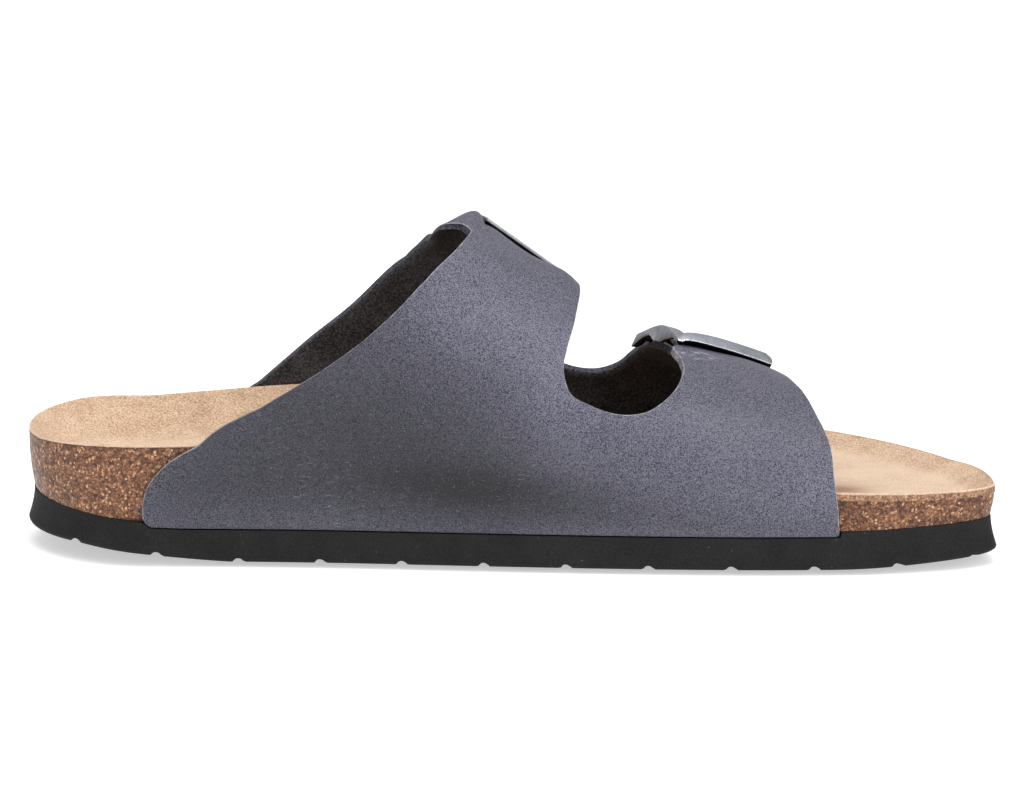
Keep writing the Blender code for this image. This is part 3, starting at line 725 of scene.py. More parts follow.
@dataclass(frozen=True)
class Last:
    """Plan of the sole, levels of its layers, and the foot form that the leather follows."""

    length: float = 278.0
    fit_gap: float = 0.3
    heel_centre: float = 35.0
    heel_half_width: float = 33.5
    toe_centre: float = 235.0
    toe_tip_y: float = -29.0
    outer_ball: float = 178.0
    outer_ball_y: float = 55.3
    plan_centre_y: float = 5.6
    inner_rows: tuple[Edge, ...] = table(
        Edge,
        (35, -33.5), (60, -33.8), (90, -35.4), (120, -38.2), (150, -40.9), (180, -43.0), (210, -44.0),
        (235, -43.5),
    )
    outer_rows: tuple[Edge, ...] = table(
        Edge,
        (35, 33.5), (60, 36.4), (90, 41.8), (120, 47.4), (150, 52.4), (178, 55.3),
    )
    bed: tuple[Bed, ...] = table(
        Bed,
        (0, 32.6, 32.6, 25.0, 17, 17), (20, 33.8, 34.2, 24.4, 18, 18), (45, 34.2, 36.0, 24.2, 20, 20),
        (75, 35.6, 37.4, 24.6, 26, 24), (105, 36.0, 36.6, 25.0, 33, 26), (135, 33.6, 33.2, 23.6, 30, 24),
        (165, 28.6, 28.6, 20.4, 20, 18), (195, 24.6, 25.2, 17.6, 14, 14), (215, 22.4, 23.8, 17.0, 12, 12),
        (235, 21.5, 23.0, 16.4, 11, 12), (260, 21.2, 22.0, 16.4, 11, 12), (280, 21.5, 21.5, 16.6, 11, 11),
    )
    ridge: tuple[Ridge, ...] = table(
        Ridge,
        (30, 0.0, 128.0), (70, -0.5, 117.5), (100, -2.0, 104.5), (130, -4.5, 88.0), (160, -7.5, 69.0),
        (184, -11.0, 55.5), (214, -15.0, 46.0), (240, -18.0, 39.5),
    )
    sole_top_level: float = 12.3
    heel_roll: tuple[float, float, float] = (60.0, 6.2, 1.25)
    toe_roll: tuple[float, float, float] = (230.0, 2.5, 1.6)
    heel_seat: tuple[float, float, float] = (50.0, 4.0, 1.7)
    toe_seat: tuple[float, float, float] = (235.0, 1.5, 1.5)
    rabbet_depth: float = 1.5
    rabbet_reach: float = 2.1
    cork_lean: float = 1.6
    insole_thickness: float = 1.5
    spring_girth: float = 0.7
    spring_rise: float = 1.0
    outer_fall: float = 1.1
    station_step: float = 0.5
    girth_step: float = 0.004

    @cached_property
    def curves(self) -> dict[str, SmoothCurve]:
        """Smooth curves through the tables, by name."""
        made = {name: SmoothCurve.of(self.bed, name) for name in Bed._fields[1:]}
        made["inner_side"] = SmoothCurve.of(self.inner_rows, "y")
        made["outer_side"] = SmoothCurve.of(self.outer_rows, "y")
        made["ridge_y"] = SmoothCurve.of(self.ridge, "y")
        made["ridge_height"] = SmoothCurve.of(self.ridge, "height")
        return made

    def edge(self, station: Array, inner: Array) -> Array:
        """Y of the footbed's edge.

        Args:
            station: Stations.
            inner: True on the inner side.

        Returns:
            Y at each station.
        """
        side = np.where(inner, self.curves["inner_side"](station), self.curves["outer_side"](station))
        heel_y = self.heel_half_width * quarter(self.heel_centre - station, self.heel_centre)
        side = np.where(station < self.heel_centre, np.where(inner, -heel_y, heel_y), side)
        start = np.where(inner, self.toe_centre, self.outer_ball)
        start_y = np.where(inner, self.inner_rows[-1].y, self.outer_ball_y)
        ahead = np.clip((station - start) / (self.length - start), 0, 1)
        round_toe = self.toe_tip_y + (start_y - self.toe_tip_y) * quarter(ahead, 1.0)
        return np.where(station > start, round_toe, side)

    def _ends(self, station: Array, heel: tuple[float, ...], toe: tuple[float, ...]) -> Array:
        """Rise towards the heel and the toe, each given as start, height and power."""
        behind = np.clip((heel[0] - station) / heel[0], 0, None)
        ahead = np.clip((station - toe[0]) / (self.length - toe[0]), 0, None)
        return heel[1] * behind ** heel[2] + toe[1] * ahead ** toe[2]

    def sole_bottom(self, station: Array) -> Array:
        """Height of the tread over the floor."""
        return self._ends(station, self.heel_roll, self.toe_roll)

    def sole_top(self, station: Array) -> Array:
        """Height of the seat on which the cork lies."""
        return self.sole_top_level + self._ends(station, self.heel_seat, self.toe_seat)

    def rim(self, station: Array, inner: Array) -> Array:
        """Height of the footbed's rim."""
        return np.where(inner, self.curves["inner_rim"](station), self.curves["outer_rim"](station))

    def foot(self, station: Array, girth: Array) -> Array:
        """Points of the foot form: upright wall to the spring line, then an elliptic arch.

        Args:
            station: Stations.
            girth: Girths, of the same shape.

        Returns:
            Array with a last axis of station, y and z.
        """
        inner = girth < 0
        side = self.edge(station, inner) + np.where(inner, -self.fit_gap, self.fit_gap)
        base = self.sole_top(station) - self.rabbet_depth + self.fit_gap
        spring = self.rim(station, inner) + self.spring_rise
        share = (1 - np.abs(girth)) / (1 - self.spring_girth)
        turn = math.pi / 2 * (1 - np.clip(np.abs(girth) / self.spring_girth, 0, 1))
        fall = np.where(inner, 1.0, self.outer_fall)
        top = self.curves["ridge_y"](station)
        upright = np.abs(girth) > self.spring_girth
        y = np.where(upright, side, top + (side - top) * np.cos(turn) ** fall)
        arch = spring + (self.curves["ridge_height"](station) - spring) * np.sin(turn) ** fall
        return np.stack([station, y, np.where(upright, base + (spring - base) * share, arch)], axis=-1)

    def over_foot(self, station: Array, girth: Array, lift: Array) -> Array:
        """Points at a height over the foot form."""
        ahead, aside = self.station_step, self.girth_step
        along = self.foot(station + ahead, girth) - self.foot(station - ahead, girth)
        around = self.foot(station, girth + aside) - self.foot(station, girth - aside)
        return self.foot(station, girth) + unit(np.cross(along, around)) * np.asarray(lift)[..., None]

    def placed(self, points: Array) -> Array:
        """Points of the tables, in metres in the sandal's frame."""
        return (points - np.array([self.length / 2, self.plan_centre_y, 0.0])) * MM


@dataclass
class Piece:
    """A mesh that is being made."""

    name: str
    points: Array
    faces: list[Face]
    finishes: Sequence[Material]
    face_finish: Optional[Array] = None
    sharp: float = 40.0
    weld_gap: float = 0.004
    sliver: float = 0.001

    def build(self, slot: Slot, stands_for: Sequence[str], weld: bool = False, **measures: Array) -> Object:
        """Makes the object, riding on the sandal's body.

        Args:
            slot: The record's material slot; not used.
            stands_for: CAD nodes that it replaces.
            weld: Whether to join points that coincide.
            measures: Numbers for the finishes, one per point.

        Returns:
            The object.
        """
        data = bpy.data.meshes.new(self.name)
        data.from_pydata(self.points.reshape(-1, 3).tolist(), [], self.faces)
        for finish in self.finishes:
            data.materials.append(finish)
        if self.face_finish is not None:
            data.polygons.foreach_set("material_index", np.asarray(self.face_finish, np.int32))
        for name, numbers in measures.items():
            layer = data.attributes.new(name, "FLOAT", "POINT")
            layer.data.foreach_set("value", np.asarray(numbers, np.float32).ravel())
        mesh = bmesh.new()
        mesh.from_mesh(data)
        if weld:
            bmesh.ops.remove_doubles(mesh, verts=mesh.verts, dist=self.weld_gap * MM)
            bmesh.ops.dissolve_degenerate(mesh, edges=mesh.edges, dist=self.sliver * MM)
        bmesh.ops.recalc_face_normals(mesh, faces=mesh.faces)
        mesh.to_mesh(data)
        mesh.free()
        data.shade_smooth()
        data.set_sharp_from_angle(angle=math.radians(self.sharp))
        made = add_object(self.name, data)
        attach(made, "root")
        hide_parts(*stands_for)
        LOG.info("%s: %d faces", self.name, len(data.polygons))
        return made


def ring_faces(rows: int, columns: int) -> list[Face]:
    """Quads between rows of points that each close on themselves."""
    row, column = np.meshgrid(np.arange(rows - 1), np.arange(columns), indexing="ij")
    following = (column + 1) % columns
    corners = (row * columns + column, row * columns + following)
    corners += ((row + 1) * columns + following, (row + 1) * columns + column)
    return [tuple(face) for face in np.stack(corners, axis=-1).reshape(-1, 4).tolist()]


@dataclass
class Plan:
    """Fine columns round the plan outline, with their outward normals and the spine they run in to."""

    last: Last
    feet: dict[Side, tuple[float, float]]
    spacing: float = 0.65
    heel_columns: int = 70
    toe_columns: int = 100
    rabbet_end: float = 0.1
    corner_length: float = 3.0
    heel_rise: tuple[float, float] = (0.9, 2.4)
    outer_sink: float = 3.6
    toe_rise: tuple[float, float] = (1.9, 1.6)
    toe_fill: float = 2.0
    toe_slope: float = 9.0
    bank_power: float = 2.0
    toe_power: float = 1.15
    end_blend: Blend = Blend(0.0, 30.0)
    toe_blend: Blend = Blend(195.0, 30.0)
    near_heel: Blend = Blend(40.0, 35.0)
    far_heel: Blend = Blend(10.0, 26.0)
    across_heel: Blend = Blend(-20.0, 40.0)
    waist_start: Blend = Blend(138.0, 14.0)
    waist_end: Blend = Blend(186.0, 14.0)
    inner_toe: Blend = Blend(205.0, 25.0)
    inner_tip: Blend = Blend(258.0, 18.0)
    outer_tip: Blend = Blend(267.0, 11.0)

    def __post_init__(self) -> None:
        """Works out the columns."""
        last = self.last
        turns = math.pi / 2 * np.arange(self.heel_columns) / self.heel_columns
        heel = last.heel_centre * (1 - np.cos(turns))
        ends = np.array([end for foot in self.feet.values() for end in foot])
        even = np.arange(last.heel_centre, last.toe_centre, self.spacing)
        even = even[np.abs(even[:, None] - ends).min(axis=1) > 2 * self.rabbet_end]
        sides = np.sort(np.concatenate([even, ends - self.rabbet_end, ends + self.rabbet_end]))
        turns = math.pi / 2 * np.arange(self.toe_columns + 1) / self.toe_columns
        toe = last.toe_centre + (last.length - last.toe_centre) * np.sin(turns)
        forward = np.concatenate([heel, sides, toe])
        self.station = np.concatenate([forward, forward[-2:0:-1]])
        self.inner = np.arange(len(self.station)) < len(forward)
        self.point = np.stack([self.station, last.edge(self.station, self.inner)], axis=-1)
        along = unit(np.roll(self.point, -1, axis=0) - np.roll(self.point, 1, axis=0))
        self.normal = np.stack([along[:, 1], -along[:, 0]], axis=-1)
        centre = np.clip(self.station, last.heel_centre, last.toe_centre)
        middle = (last.edge(centre, centre < np.inf) + last.edge(centre, centre > np.inf)) / 2
        self.spine = np.stack([centre, middle], axis=-1)
        self.first = np.where(self.inner, self.feet[Side.INNER][0], self.feet[Side.OUTER][0])
        final = np.where(self.inner, self.feet[Side.INNER][1], self.feet[Side.OUTER][1])
        self.past_upper = np.maximum(0.0, np.maximum(self.first - self.station, self.station - final))
        self.reach = np.linalg.norm(self.spine - self.point, axis=1)

    def in_rabbet(self) -> Array:
        """1 where the sole is cut down for the upper, falling to 0 round the quarters' back corners."""
        cut = smooth_step((self.station - self.first) / self.corner_length)
        return np.where(self.past_upper == 0, cut, 0.0)

    def end_share(self) -> Array:
        """0 beside the upper, growing smoothly to 1 towards the heel and the toe."""
        return self.end_blend(self.past_upper)

    def ring(self, outward: Array, share: float = 0.0) -> Array:
        """Plan points of one ring, moved out from the outline and then towards the spine."""
        edge = self.point + self.normal * np.broadcast_to(outward, self.station.shape)[:, None]
        return edge + (self.spine - edge) * share

    def toe_share(self) -> Array:
        """0 behind the ball of the foot, 1 at the toes."""
        return self.toe_blend(self.station)

    def bank(self, share: float) -> Array:
        """Share of the dish's sloping side left, from 1 at the rim to 0 on its floor."""
        curves = self.last.curves
        slope = np.where(self.inner, curves["inner_slope"](self.station), curves["outer_slope"](self.station))
        slope += (self.toe_slope - slope) * self.toe_share()
        return np.maximum(0.0, 1 - share * self.reach / slope)

    def dish(self, share: float) -> Array:
        """Height of the insole's top at a share of the way to the spine."""
        toe = self.toe_share()
        level = self.last.curves["floor"](self.ring(0.0, share)[:, 0]) + self.toe_fill * toe
        rim = self.last.rim(self.station, self.inner) + self.rim_rise()
        power = self.bank_power + (self.toe_power - self.bank_power) * toe
        return level + (rim - level) * self.bank(share) ** power

    def rim_rise(self) -> Array:
        """How far the rim rises round the heel and the toe, and sinks behind the outer quarter."""
        near = self.heel_rise[0] * (1 - self.near_heel(self.station))
        far = self.heel_rise[1] * (1 - self.far_heel(self.station))
        heel = near + (far - near) * self.across_heel(self.point[:, 1])
        waist = self.waist_start(self.station) * (1 - self.waist_end(self.station))
        side, tip = self.toe_rise
        at_tip = self.inner_tip(self.station)
        toe = side * self.inner_toe(self.station) * (1 - at_tip) + tip * at_tip
        outer = tip * self.outer_tip(self.station) - self.outer_sink * waist
        return heel + np.where(self.inner, toe, outer)

    def solid(self, rings: Sequence[tuple[Array, Array]]) -> tuple[Array, list[Face]]:
        """Points in metres and faces of a closed solid.

        Args:
            rings: Plan points and heights, ring by ring, from spine to spine.

        Returns:
            Points and faces.
        """
        points = [np.column_stack([plan, np.broadcast_to(z, len(plan))]) for plan, z in rings]
        return self.last.placed(np.stack(points)), ring_faces(len(points), len(self.station))


# Sole


@dataclass
class Outsole:
    """Foam sole with flared sides, a rabbet for the upper and wavy grooves across its tread."""

    plan: Plan
    flare: float = 2.2
    end_flare: float = 0.5
    edge_round: float = 1.3
    ledge_blend: Blend = Blend(0.0, 9.0)
    groove_first: float = 12.5
    groove_pitch: float = 23.4
    groove_count: int = 12
    groove_radius: float = 1.9
    groove_depth: float = 1.15
    edge_lift: float = 1.3
    lift_reach: float = 14.0
    lift_blend: Blend = Blend(0.0, 20.0)
    groove_wave: float = 3.0
    groove_waves: float = 2.5
    groove_margin: float = 8.0
    groove_edge: float = 0.25
    wall_power: float = 1.7
    shoulder_inset: float = 0.12
    seat_insets: tuple[float, float] = (0.3, 0.5)
    tread_shares: tuple[float, ...] = (
        1.0, 0.9, 0.8, 0.7, 0.6, 0.5, 0.4, 0.32, 0.24, 0.17, 0.11, 0.06, 0.02, 0.0,
    )
    round_turns: tuple[int, ...] = (25, 50, 70, 90)
    wall_climbs: tuple[float, ...] = (0.08, 0.18, 0.3, 0.45, 0.6, 0.75, 0.88, 1.0)
    shoulder_climbs: tuple[float, ...] = (0.3, 0.6, 0.85, 0.97)
    seat_shares: tuple[float, ...] = (0.5, 1.0)

    def groove_rise(self, plan_points: Array) -> Array:
        """How far the grooves lift the tread."""
        last = self.plan.last
        station, y = plan_points[:, 0], plan_points[:, 1]
        rise = np.zeros(len(station))
        for index in range(self.groove_count):
            middle = np.array(self.groove_first + index * self.groove_pitch)
            low = last.edge(middle, True) - self.groove_margin
            high = last.edge(middle, False) + self.groove_margin
            share = (y - low) / (high - low)
            centre = middle + self.groove_wave * np.sin(2 * math.pi * self.groove_waves * share)
            round_top = np.sqrt(np.maximum(0.0, self.groove_radius**2 - (station - centre) ** 2))
            rise = np.maximum(rise, round_top + self.groove_depth - self.groove_radius)
        return rise

    def build(self) -> None:
        """Makes the sole."""
        plan, last = self.plan, self.plan.last
        end = plan.end_share()
        seat = last.sole_top(plan.station)
        ledge = seat - last.rabbet_depth
        shoulder = seat - last.rabbet_depth * plan.in_rabbet()
        end_reach = last.fit_gap - last.cork_lean * end
        reach = end_reach + (last.rabbet_reach - end_reach) * (1 - self.ledge_blend(plan.past_upper))
        flare = self.flare + (self.end_flare - self.flare) * end
        rings = []
        lift = self.edge_lift * self.lift_blend(plan.station)
        for share in self.tread_shares:
            flat = plan.ring(flare - self.edge_round, share)
            edge = lift * np.maximum(0.0, 1 - share * plan.reach / self.lift_reach) ** 2
            rings.append((flat, last.sole_bottom(flat[:, 0]) + self.groove_rise(flat) + edge))
        for turn in self.round_turns:
            out = plan.ring(flare - self.edge_round * (1 - math.sin(math.radians(turn))))
            up = self.edge_round * (1 - math.cos(math.radians(turn)))
            rise = self.groove_rise(out)
            up = np.maximum(up, rise + up * self.groove_edge)
            rings.append((out, last.sole_bottom(plan.station) + lift + up))
        low = rings[-1][1]
        heights = [low + (ledge - low) * climb for climb in self.wall_climbs]
        heights += [ledge + (shoulder - ledge) * climb for climb in self.shoulder_climbs]
        for height in heights:
            left = 1 - np.clip((height - low) / (shoulder - low), 0, 1)
            rings.append((plan.ring(flare + (reach - flare) * (1 - left**self.wall_power)), height))
        rings.append((plan.ring(reach - self.shoulder_inset), shoulder))
        for inset, height in zip(self.seat_insets, (shoulder, seat)):
            rings.append((plan.ring(np.minimum(end_reach, 0.0) - inset), height))
        for share in self.seat_shares:
            flat = plan.ring(0.0, share)
            rings.append((flat, last.sole_top(flat[:, 0])))
        points, faces = plan.solid(rings)
        piece = Piece("foam_outsole", points, faces, [Foam().material()], sharp=50.0)
        piece.build(Slot.FOAM, ["outsole"], weld=True)


@dataclass
class Footbed:
    """Cork midsole with a trimmed lip round the toe, and the suede that lines it."""

    plan: Plan
    lip_height: float = 1.9
    lip_proud: float = 0.45
    lip_blend: Blend = Blend(205.0, 22.0)
    lip_rows: tuple[tuple[float, float, float], ...] = (
        (0.0, 0.1125, 0.86), (0.0, 0.1, 0.72), (0.0, 0.15, 0.3), (0.05, 0.3, 0.0),
    )
    lean_power: float = 2.2
    glue_gap: float = 0.05
    wall_climbs: tuple[float, ...] = (0.0, 0.08, 0.2, 0.35, 0.5, 0.65, 0.8, 0.92, 1.0)
    bed_shares: tuple[float, ...] = (0.05, 0.12, 0.2, 0.3, 0.5, 0.75, 1.0)
    suede_edge: float = 0.6
    suede_round: float = 0.4
    suede_inset: float = 0.1
    suede_trim: float = 0.3
    suede_turns: tuple[int, ...] = (0, 30, 60, 90)
    suede_shares: tuple[float, ...] = (
        0.012, 0.03, 0.055, 0.085, 0.12, 0.16, 0.21, 0.27, 0.34, 0.42, 0.52, 0.64, 0.78, 0.9, 1.0,
    )
    fray: float = 0.14
    fray_size: float = 3.2
    fray_seed: float = 0.7
    nap: float = 0.10
    nap_size: float = 14.0
    nap_seed: float = 1.9
    nap_rise: float = 6.0
    pressed_and_lit_gain: float = 2.2
    # Painted shade spot by the upper's front edge.
    painted_shade_spot: PaintedShadeSpot = PaintedShadeSpot(234.5, -18.0, 8.0, 7.0, 1.3)

    def lip_share(self) -> Array:
        """1 round the toe, where the lip is trimmed, and 0 at the heel."""
        return self.lip_blend(self.plan.station)

    def build(self) -> None:
        """Makes the cork and the suede."""
        self._build_cork()
        self._build_suede()

    def _build_cork(self) -> None:
        """Cork: upright beside the upper, leaning in at the ends, dished on top."""
        plan, last = self.plan, self.plan.last
        lean = last.cork_lean * plan.end_share()
        foot = last.sole_top(plan.station) + self.glue_gap
        depth = last.insole_thickness + self.glue_gap
        rim = plan.dish(0.0) - self.suede_edge - self.glue_gap
        lip = self.lip_share()
        under = plan.ring(0.0, 1.0)
        rings = [(under, last.sole_top(under[:, 0]) + self.glue_gap)]
        for climb in self.wall_climbs:
            outward = -lean * (1 - climb) ** self.lean_power - self.lip_proud * lip * min(1.0, 3 * climb)
            rings.append((plan.ring(outward), foot + (rim - self.lip_height - foot) * climb))
        plain = len(rings)
        for inset, toe_inset, drop in self.lip_rows:
            rings.append((plan.ring(-inset - toe_inset * lip), rim - self.lip_height * drop))
        top = len(rings)
        for share in self.bed_shares:
            rings.append((plan.ring(0.0, share), plan.dish(share) - depth))
        points, faces = plan.solid(rings)
        trimmed = np.zeros(points.shape[:2])
        trimmed[plain:top] = lip
        # Painted shadow line on the cork's top ring under the suede's edge, fading out round the toe.
        seam_shadow = np.zeros(points.shape[:2])
        seam_shadow[top - 1] = 1 - lip
        piece = Piece("cork_footbed", points, faces, [Cork().material()])
        piece.build(Slot.CORK, ["footbed"], weld=True, lip=trimmed, seam_shadow=seam_shadow)

    def _build_suede(self) -> None:
        """Suede lining of the dish, with a thin cut edge that is a little frayed."""
        plan, last = self.plan, self.plan.last
        shares, thickness = self.suede_shares, last.insole_thickness
        rings = [(plan.ring(0.0, share), plan.dish(share) - thickness) for share in reversed(shares)]
        top = plan.dish(0.0)
        fray = self.fray * ripple(np.column_stack([plan.point, top]), self.fray_size, self.fray_seed)
        proud = fray - self.suede_trim * self.lip_share()
        rings.append((plan.ring(proud - self.suede_inset), top - self.suede_edge + 0.5 * fray))
        for turn in self.suede_turns:
            drawn = self.suede_round * (1 - math.cos(math.radians(turn)))
            sunk = self.suede_round * (1 - math.sin(math.radians(turn)))
            rings.append((plan.ring(proud - drawn), top - sunk))
        for share in shares:
            flat = plan.ring(-self.suede_round * (1 - share), share)
            nap = self.nap * ripple(flat, self.nap_size, self.nap_seed)
            rings.append((flat, plan.dish(share) + nap * min(1.0, self.nap_rise * share)))
        points, faces = plan.solid(rings)
        # Pressed measure: 1 on the dish's floor, 0 on its banks; the floor is pressed nap and is also painted
        # lighter, as lit more than the banks.
        pressed = np.zeros(points.shape[:2])
        for row, share in enumerate(shares, len(rings) - len(shares)):
            pressed[row] = 1 - smooth_step(self.pressed_and_lit_gain * plan.bank(share))
        cut = np.zeros(points.shape[:2])
        cut[len(shares) : len(shares) + len(self.suede_turns)] = 1.0
        # Painted shade spot under the upper's front edge, as a soft round fall-off.
        station, y = points[..., 0] / MM + last.length / 2, points[..., 1] / MM + last.plan_centre_y
        spot = self.painted_shade_spot
        along, aside = (station - spot.station) / spot.length, (y - spot.y) / spot.width
        painted_shade_spot = spot.amount * np.exp(-(along**2) - aside**2)
        piece = Piece("suede_insole", points, faces, [Suede().material()], sharp=70.0)
        piece.build(Slot.SUEDE, ["insole"], weld=True, pressed=pressed, cut=cut, painted_shade_spot=painted_shade_spot)


# Upper and buckles


@dataclass(frozen=True)
class Buckle:
    """Pressed frame set slantwise over a strap, arched, with flanges down its sides, and its prong."""

    name: str
    station: float
    girth: float
    slope: float
    turn: float
    tip_lift: float
    rear_raise: float
    front_raise: float
    droop: float
    droop_range: tuple[float, float]
    tip_twist: tuple[float, float, float] = (0.0, 0.0, 0.0)
    crown: float = 0.0
    crown_skew: float = 0.6
    crown_fade: Blend = Blend(0.0, 12.0)
    wall: float = 2.4
    press: float = 0.5
    clearance: float = 0.1
    frame_length: float = 28.2
    frame_width: float = 25.0
    frame_flare: float = 0.15
    pivot_lift: float = 3.7
    arch_past: tuple[float, float] = (8.0, 17.0)
    arch_rise: float = 0.2
    arch_share: float = 0.6
    overhang: float = 3.0
    bar: float = 3.4
    thickness: float = 1.5
    corner: float = 2.2
    bevel: float = 0.38
    flange_thickness: float = 1.3
    rear_flange: tuple[tuple[float, float], ...] = (
        (0.0, 0.0), (2.5, 0.1), (6.5, 2.2), (8.5, 3.6), (12.0, 3.8), (13.5, 2.8), (16.0, 1.3),
        (19.0, 1.0), (21.0, 1.4), (23.0, 2.6), (29.0, 3.6),
    )
    front_flange: tuple[tuple[float, float], ...] = ((-2.0, 2.2), (28.0, 2.4))
    flange_scale: float = 1.0
    lip_thickness: float = 1.2
    tip_lip: float = 1.6
    squareness: float = 0.7
    tip_side: float = -1.0
    tip_blend: Blend = Blend(0.75, 0.25)
    twist_at: tuple[float, float, float] = (-14.0, -4.0, 14.0)
    corner_points: int = 9
    side_points: int = 44
    bar_points: int = 18
    prong_radius: float = 0.75
    prong_sink: float = 1.8
    prong_dip: tuple[Bend, ...] = table(Bend, (1.6, -3.4), (0.3, -1.6), (-1.4, 0.0))
    prong_end: tuple[Bend, ...] = table(Bend, (1.5, 0.0), (-1.4, -0.1))
    prong_middle: float = 10.0
    prong_steps: int = 80
    prong_sides: int = 16
    prong_tip: float = 0.75
    prong_taper: Blend = Blend(0.0, 16.0)
    prong_least: float = 0.02
    hole_past: float = 14.0
    hole_edge: float = 1.2
    ramp: tuple[float, float] = (-42.0, -22.0)
    climb_start: float = 6.0
    crest: float = 3.0
    tail_drop: float = 13.0

    @property
    def seat(self) -> float:
        """Height of the strap's underside where it lies on the outer arm, pressed in a little."""
        return self.wall - self.press

    @property
    def hump(self) -> float:
        """Height of the strap's underside over the pivot bar."""
        return self.pivot_lift + self.thickness / 2 + self.clearance

    def past_tip_bar(self, station: Array, girth: Array) -> Array:
        """Distance of strap points beyond the tip bar, square to it."""
        along = (station - self.station) / math.cos(self.slope)
        around = (girth - self.girth) * GIRTH_LENGTH
        return around * math.cos(self.turn) - along * math.sin(self.turn)

    def strap_lift(self, station: Array, girth: Array) -> Array:
        """Height of the strap's underside over the foot: on to the outer arm, over the pivot bar and down."""
        past = self.past_tip_bar(station, girth)
        seat = self.seat * smooth_step((past - self.ramp[0]) / (self.ramp[1] - self.ramp[0]))
        climb = smooth_step((past - self.climb_start) / (self.frame_width - self.crest - self.climb_start))
        fall = smooth_step((past - self.frame_width - self.crest) / self.tail_drop)
        return seat + (self.hump - self.seat) * (climb - fall)

    def frame_lift(self, past: Array) -> Array:
        """Height of the arched frame's middle over the foot, from the tip bar to the pivot bar."""
        tip, pivot, width = self.tip_lift, self.pivot_lift, self.frame_width
        shoulder = self.arch_share * tip + (1 - self.arch_share) * pivot
        heights = (tip, tip, tip + self.arch_rise, shoulder, pivot, pivot)
        places = (-self.overhang, 0.0, *self.arch_past, width, width + self.overhang)
        return SmoothCurve(places, heights)(past)

    def place(self, along: Array, past: Array) -> tuple[Array, Array]:
        """Station and girth at distances along the bars and past the tip bar."""
        forward = along * math.cos(self.turn) - past * math.sin(self.turn)
        around = along * math.sin(self.turn) + past * math.cos(self.turn)
        return self.station + forward * math.cos(self.slope), self.girth + around / GIRTH_LENGTH

    def point(self, last: Last, along: Array, past: Array, lift: Array) -> Array:
        """Points on straight lines along the bars, in millimetres.

        Args:
            last: The foot form.
            along: Distances along the bars from the middle.
            past: Distances past the tip bar.
            lift: Heights over the foot form at both sides of the frame.

        Returns:
            Array with a last axis of station, y and z.
        """
        half = self.frame_length / 2
        start, stop = self.droop_range
        raised = self.rear_raise - self.droop * smooth_step((past - start) / (stop - start))
        back = last.over_foot(*self.place(np.full_like(past, -half), past), lift + raised)
        front = last.over_foot(*self.place(np.full_like(past, half), past), lift + self.front_raise)
        share = 0.5 + along / self.frame_length
        skewed = np.clip(share, 0, 1) ** self.crown_skew
        crown = self.crown * 4 * skewed * (1 - skewed) * (1 - self.crown_fade(past))
        return back + (front - back) * share[..., None] + crown[..., None] * np.array([0.0, 0.0, 1.0])

    def _middle_line(self) -> Array:
        """Middle line of the bars as rows of along, past, outward along and outward past, once round."""
        half_length = self.frame_length / 2 - self.corner
        half_width = self.frame_width / 2 - self.corner
        rows = []
        for x, y, start in QUADRANTS:
            for turn in np.radians(start + np.linspace(0, 90, self.corner_points)):
                square = self.squareness if y < 0 else 0.0
                reach = max(abs(math.cos(turn)), abs(math.sin(turn))) ** -square
                out = (reach * math.cos(turn), reach * math.sin(turn))
                along = x * half_length + self.corner * out[0]
                rows.append((along, y * half_width + self.corner * out[1], *out))
            out = (round(math.cos(math.radians(start + 90))), round(math.sin(math.radians(start + 90))))
            for share in np.linspace(1, -1, self.side_points if out[0] else self.bar_points)[1:-1]:
                if out[0]:
                    rows.append((out[0] * (half_length + self.corner), y * half_width * share, *out))
                else:
                    rows.append((x * half_length * share, out[1] * (half_width + self.corner), *out))
        line = np.array(rows)
        line[:, 1] += self.frame_width / 2
        return line

    def _section(self) -> list[Corner]:
        """Bar section with bevelled edges: a painted highlight mixed with rubbed wear on the outer bevels,
        painted shade on the faces underneath.
        """
        half_bar, half_thick, bevel = self.bar / 2, self.thickness / 2, self.bevel
        flange, lip = half_bar - self.flange_thickness, self.lip_thickness - half_bar
        rows = []
        for x, y, start in QUADRANTS:
            if start == 270:
                rows += [Corner(lip, -half_thick, 0.0, share, -1.0, -1.0) for share in (1.0, 0.0)]
                rows += [Corner(flange, -half_thick, share, 0.0, -1.0, -1.0) for share in (0.0, 1.0)]
            # Shine of each bevel, away from and near the tip bar: above 0 painted highlight, below 0 painted
            # shade.
            highlight_and_wear = {
                0: ((0.0, 0.4, 0.4, 0.0), (self.tip_side, 1.0, 1.0, -0.2)),
                90: ((0.0, 0.4, 0.4, 0.0), (-0.25, 0.0, 0.0, 0.0)),
                180: ((-1.0, -1.0, -1.0, -1.0), (-1.0, -1.0, -1.0, -1.0)),
                270: ((-1.0, 0.0, 0.0, 0.0), (-1.0, -1.0, -1.0, self.tip_side - 0.9)),
            }[start]
            for turn, shine, tip_shine in zip((0, 30, 60, 90), *highlight_and_wear):
                angle = math.radians(start + turn)
                out = x * (half_bar - bevel) + bevel * math.cos(angle)
                up = y * (half_thick - bevel) + bevel * math.sin(angle)
                rows.append(Corner(out, up, float(start == 270), float(start == 180), shine, tip_shine))
        return rows

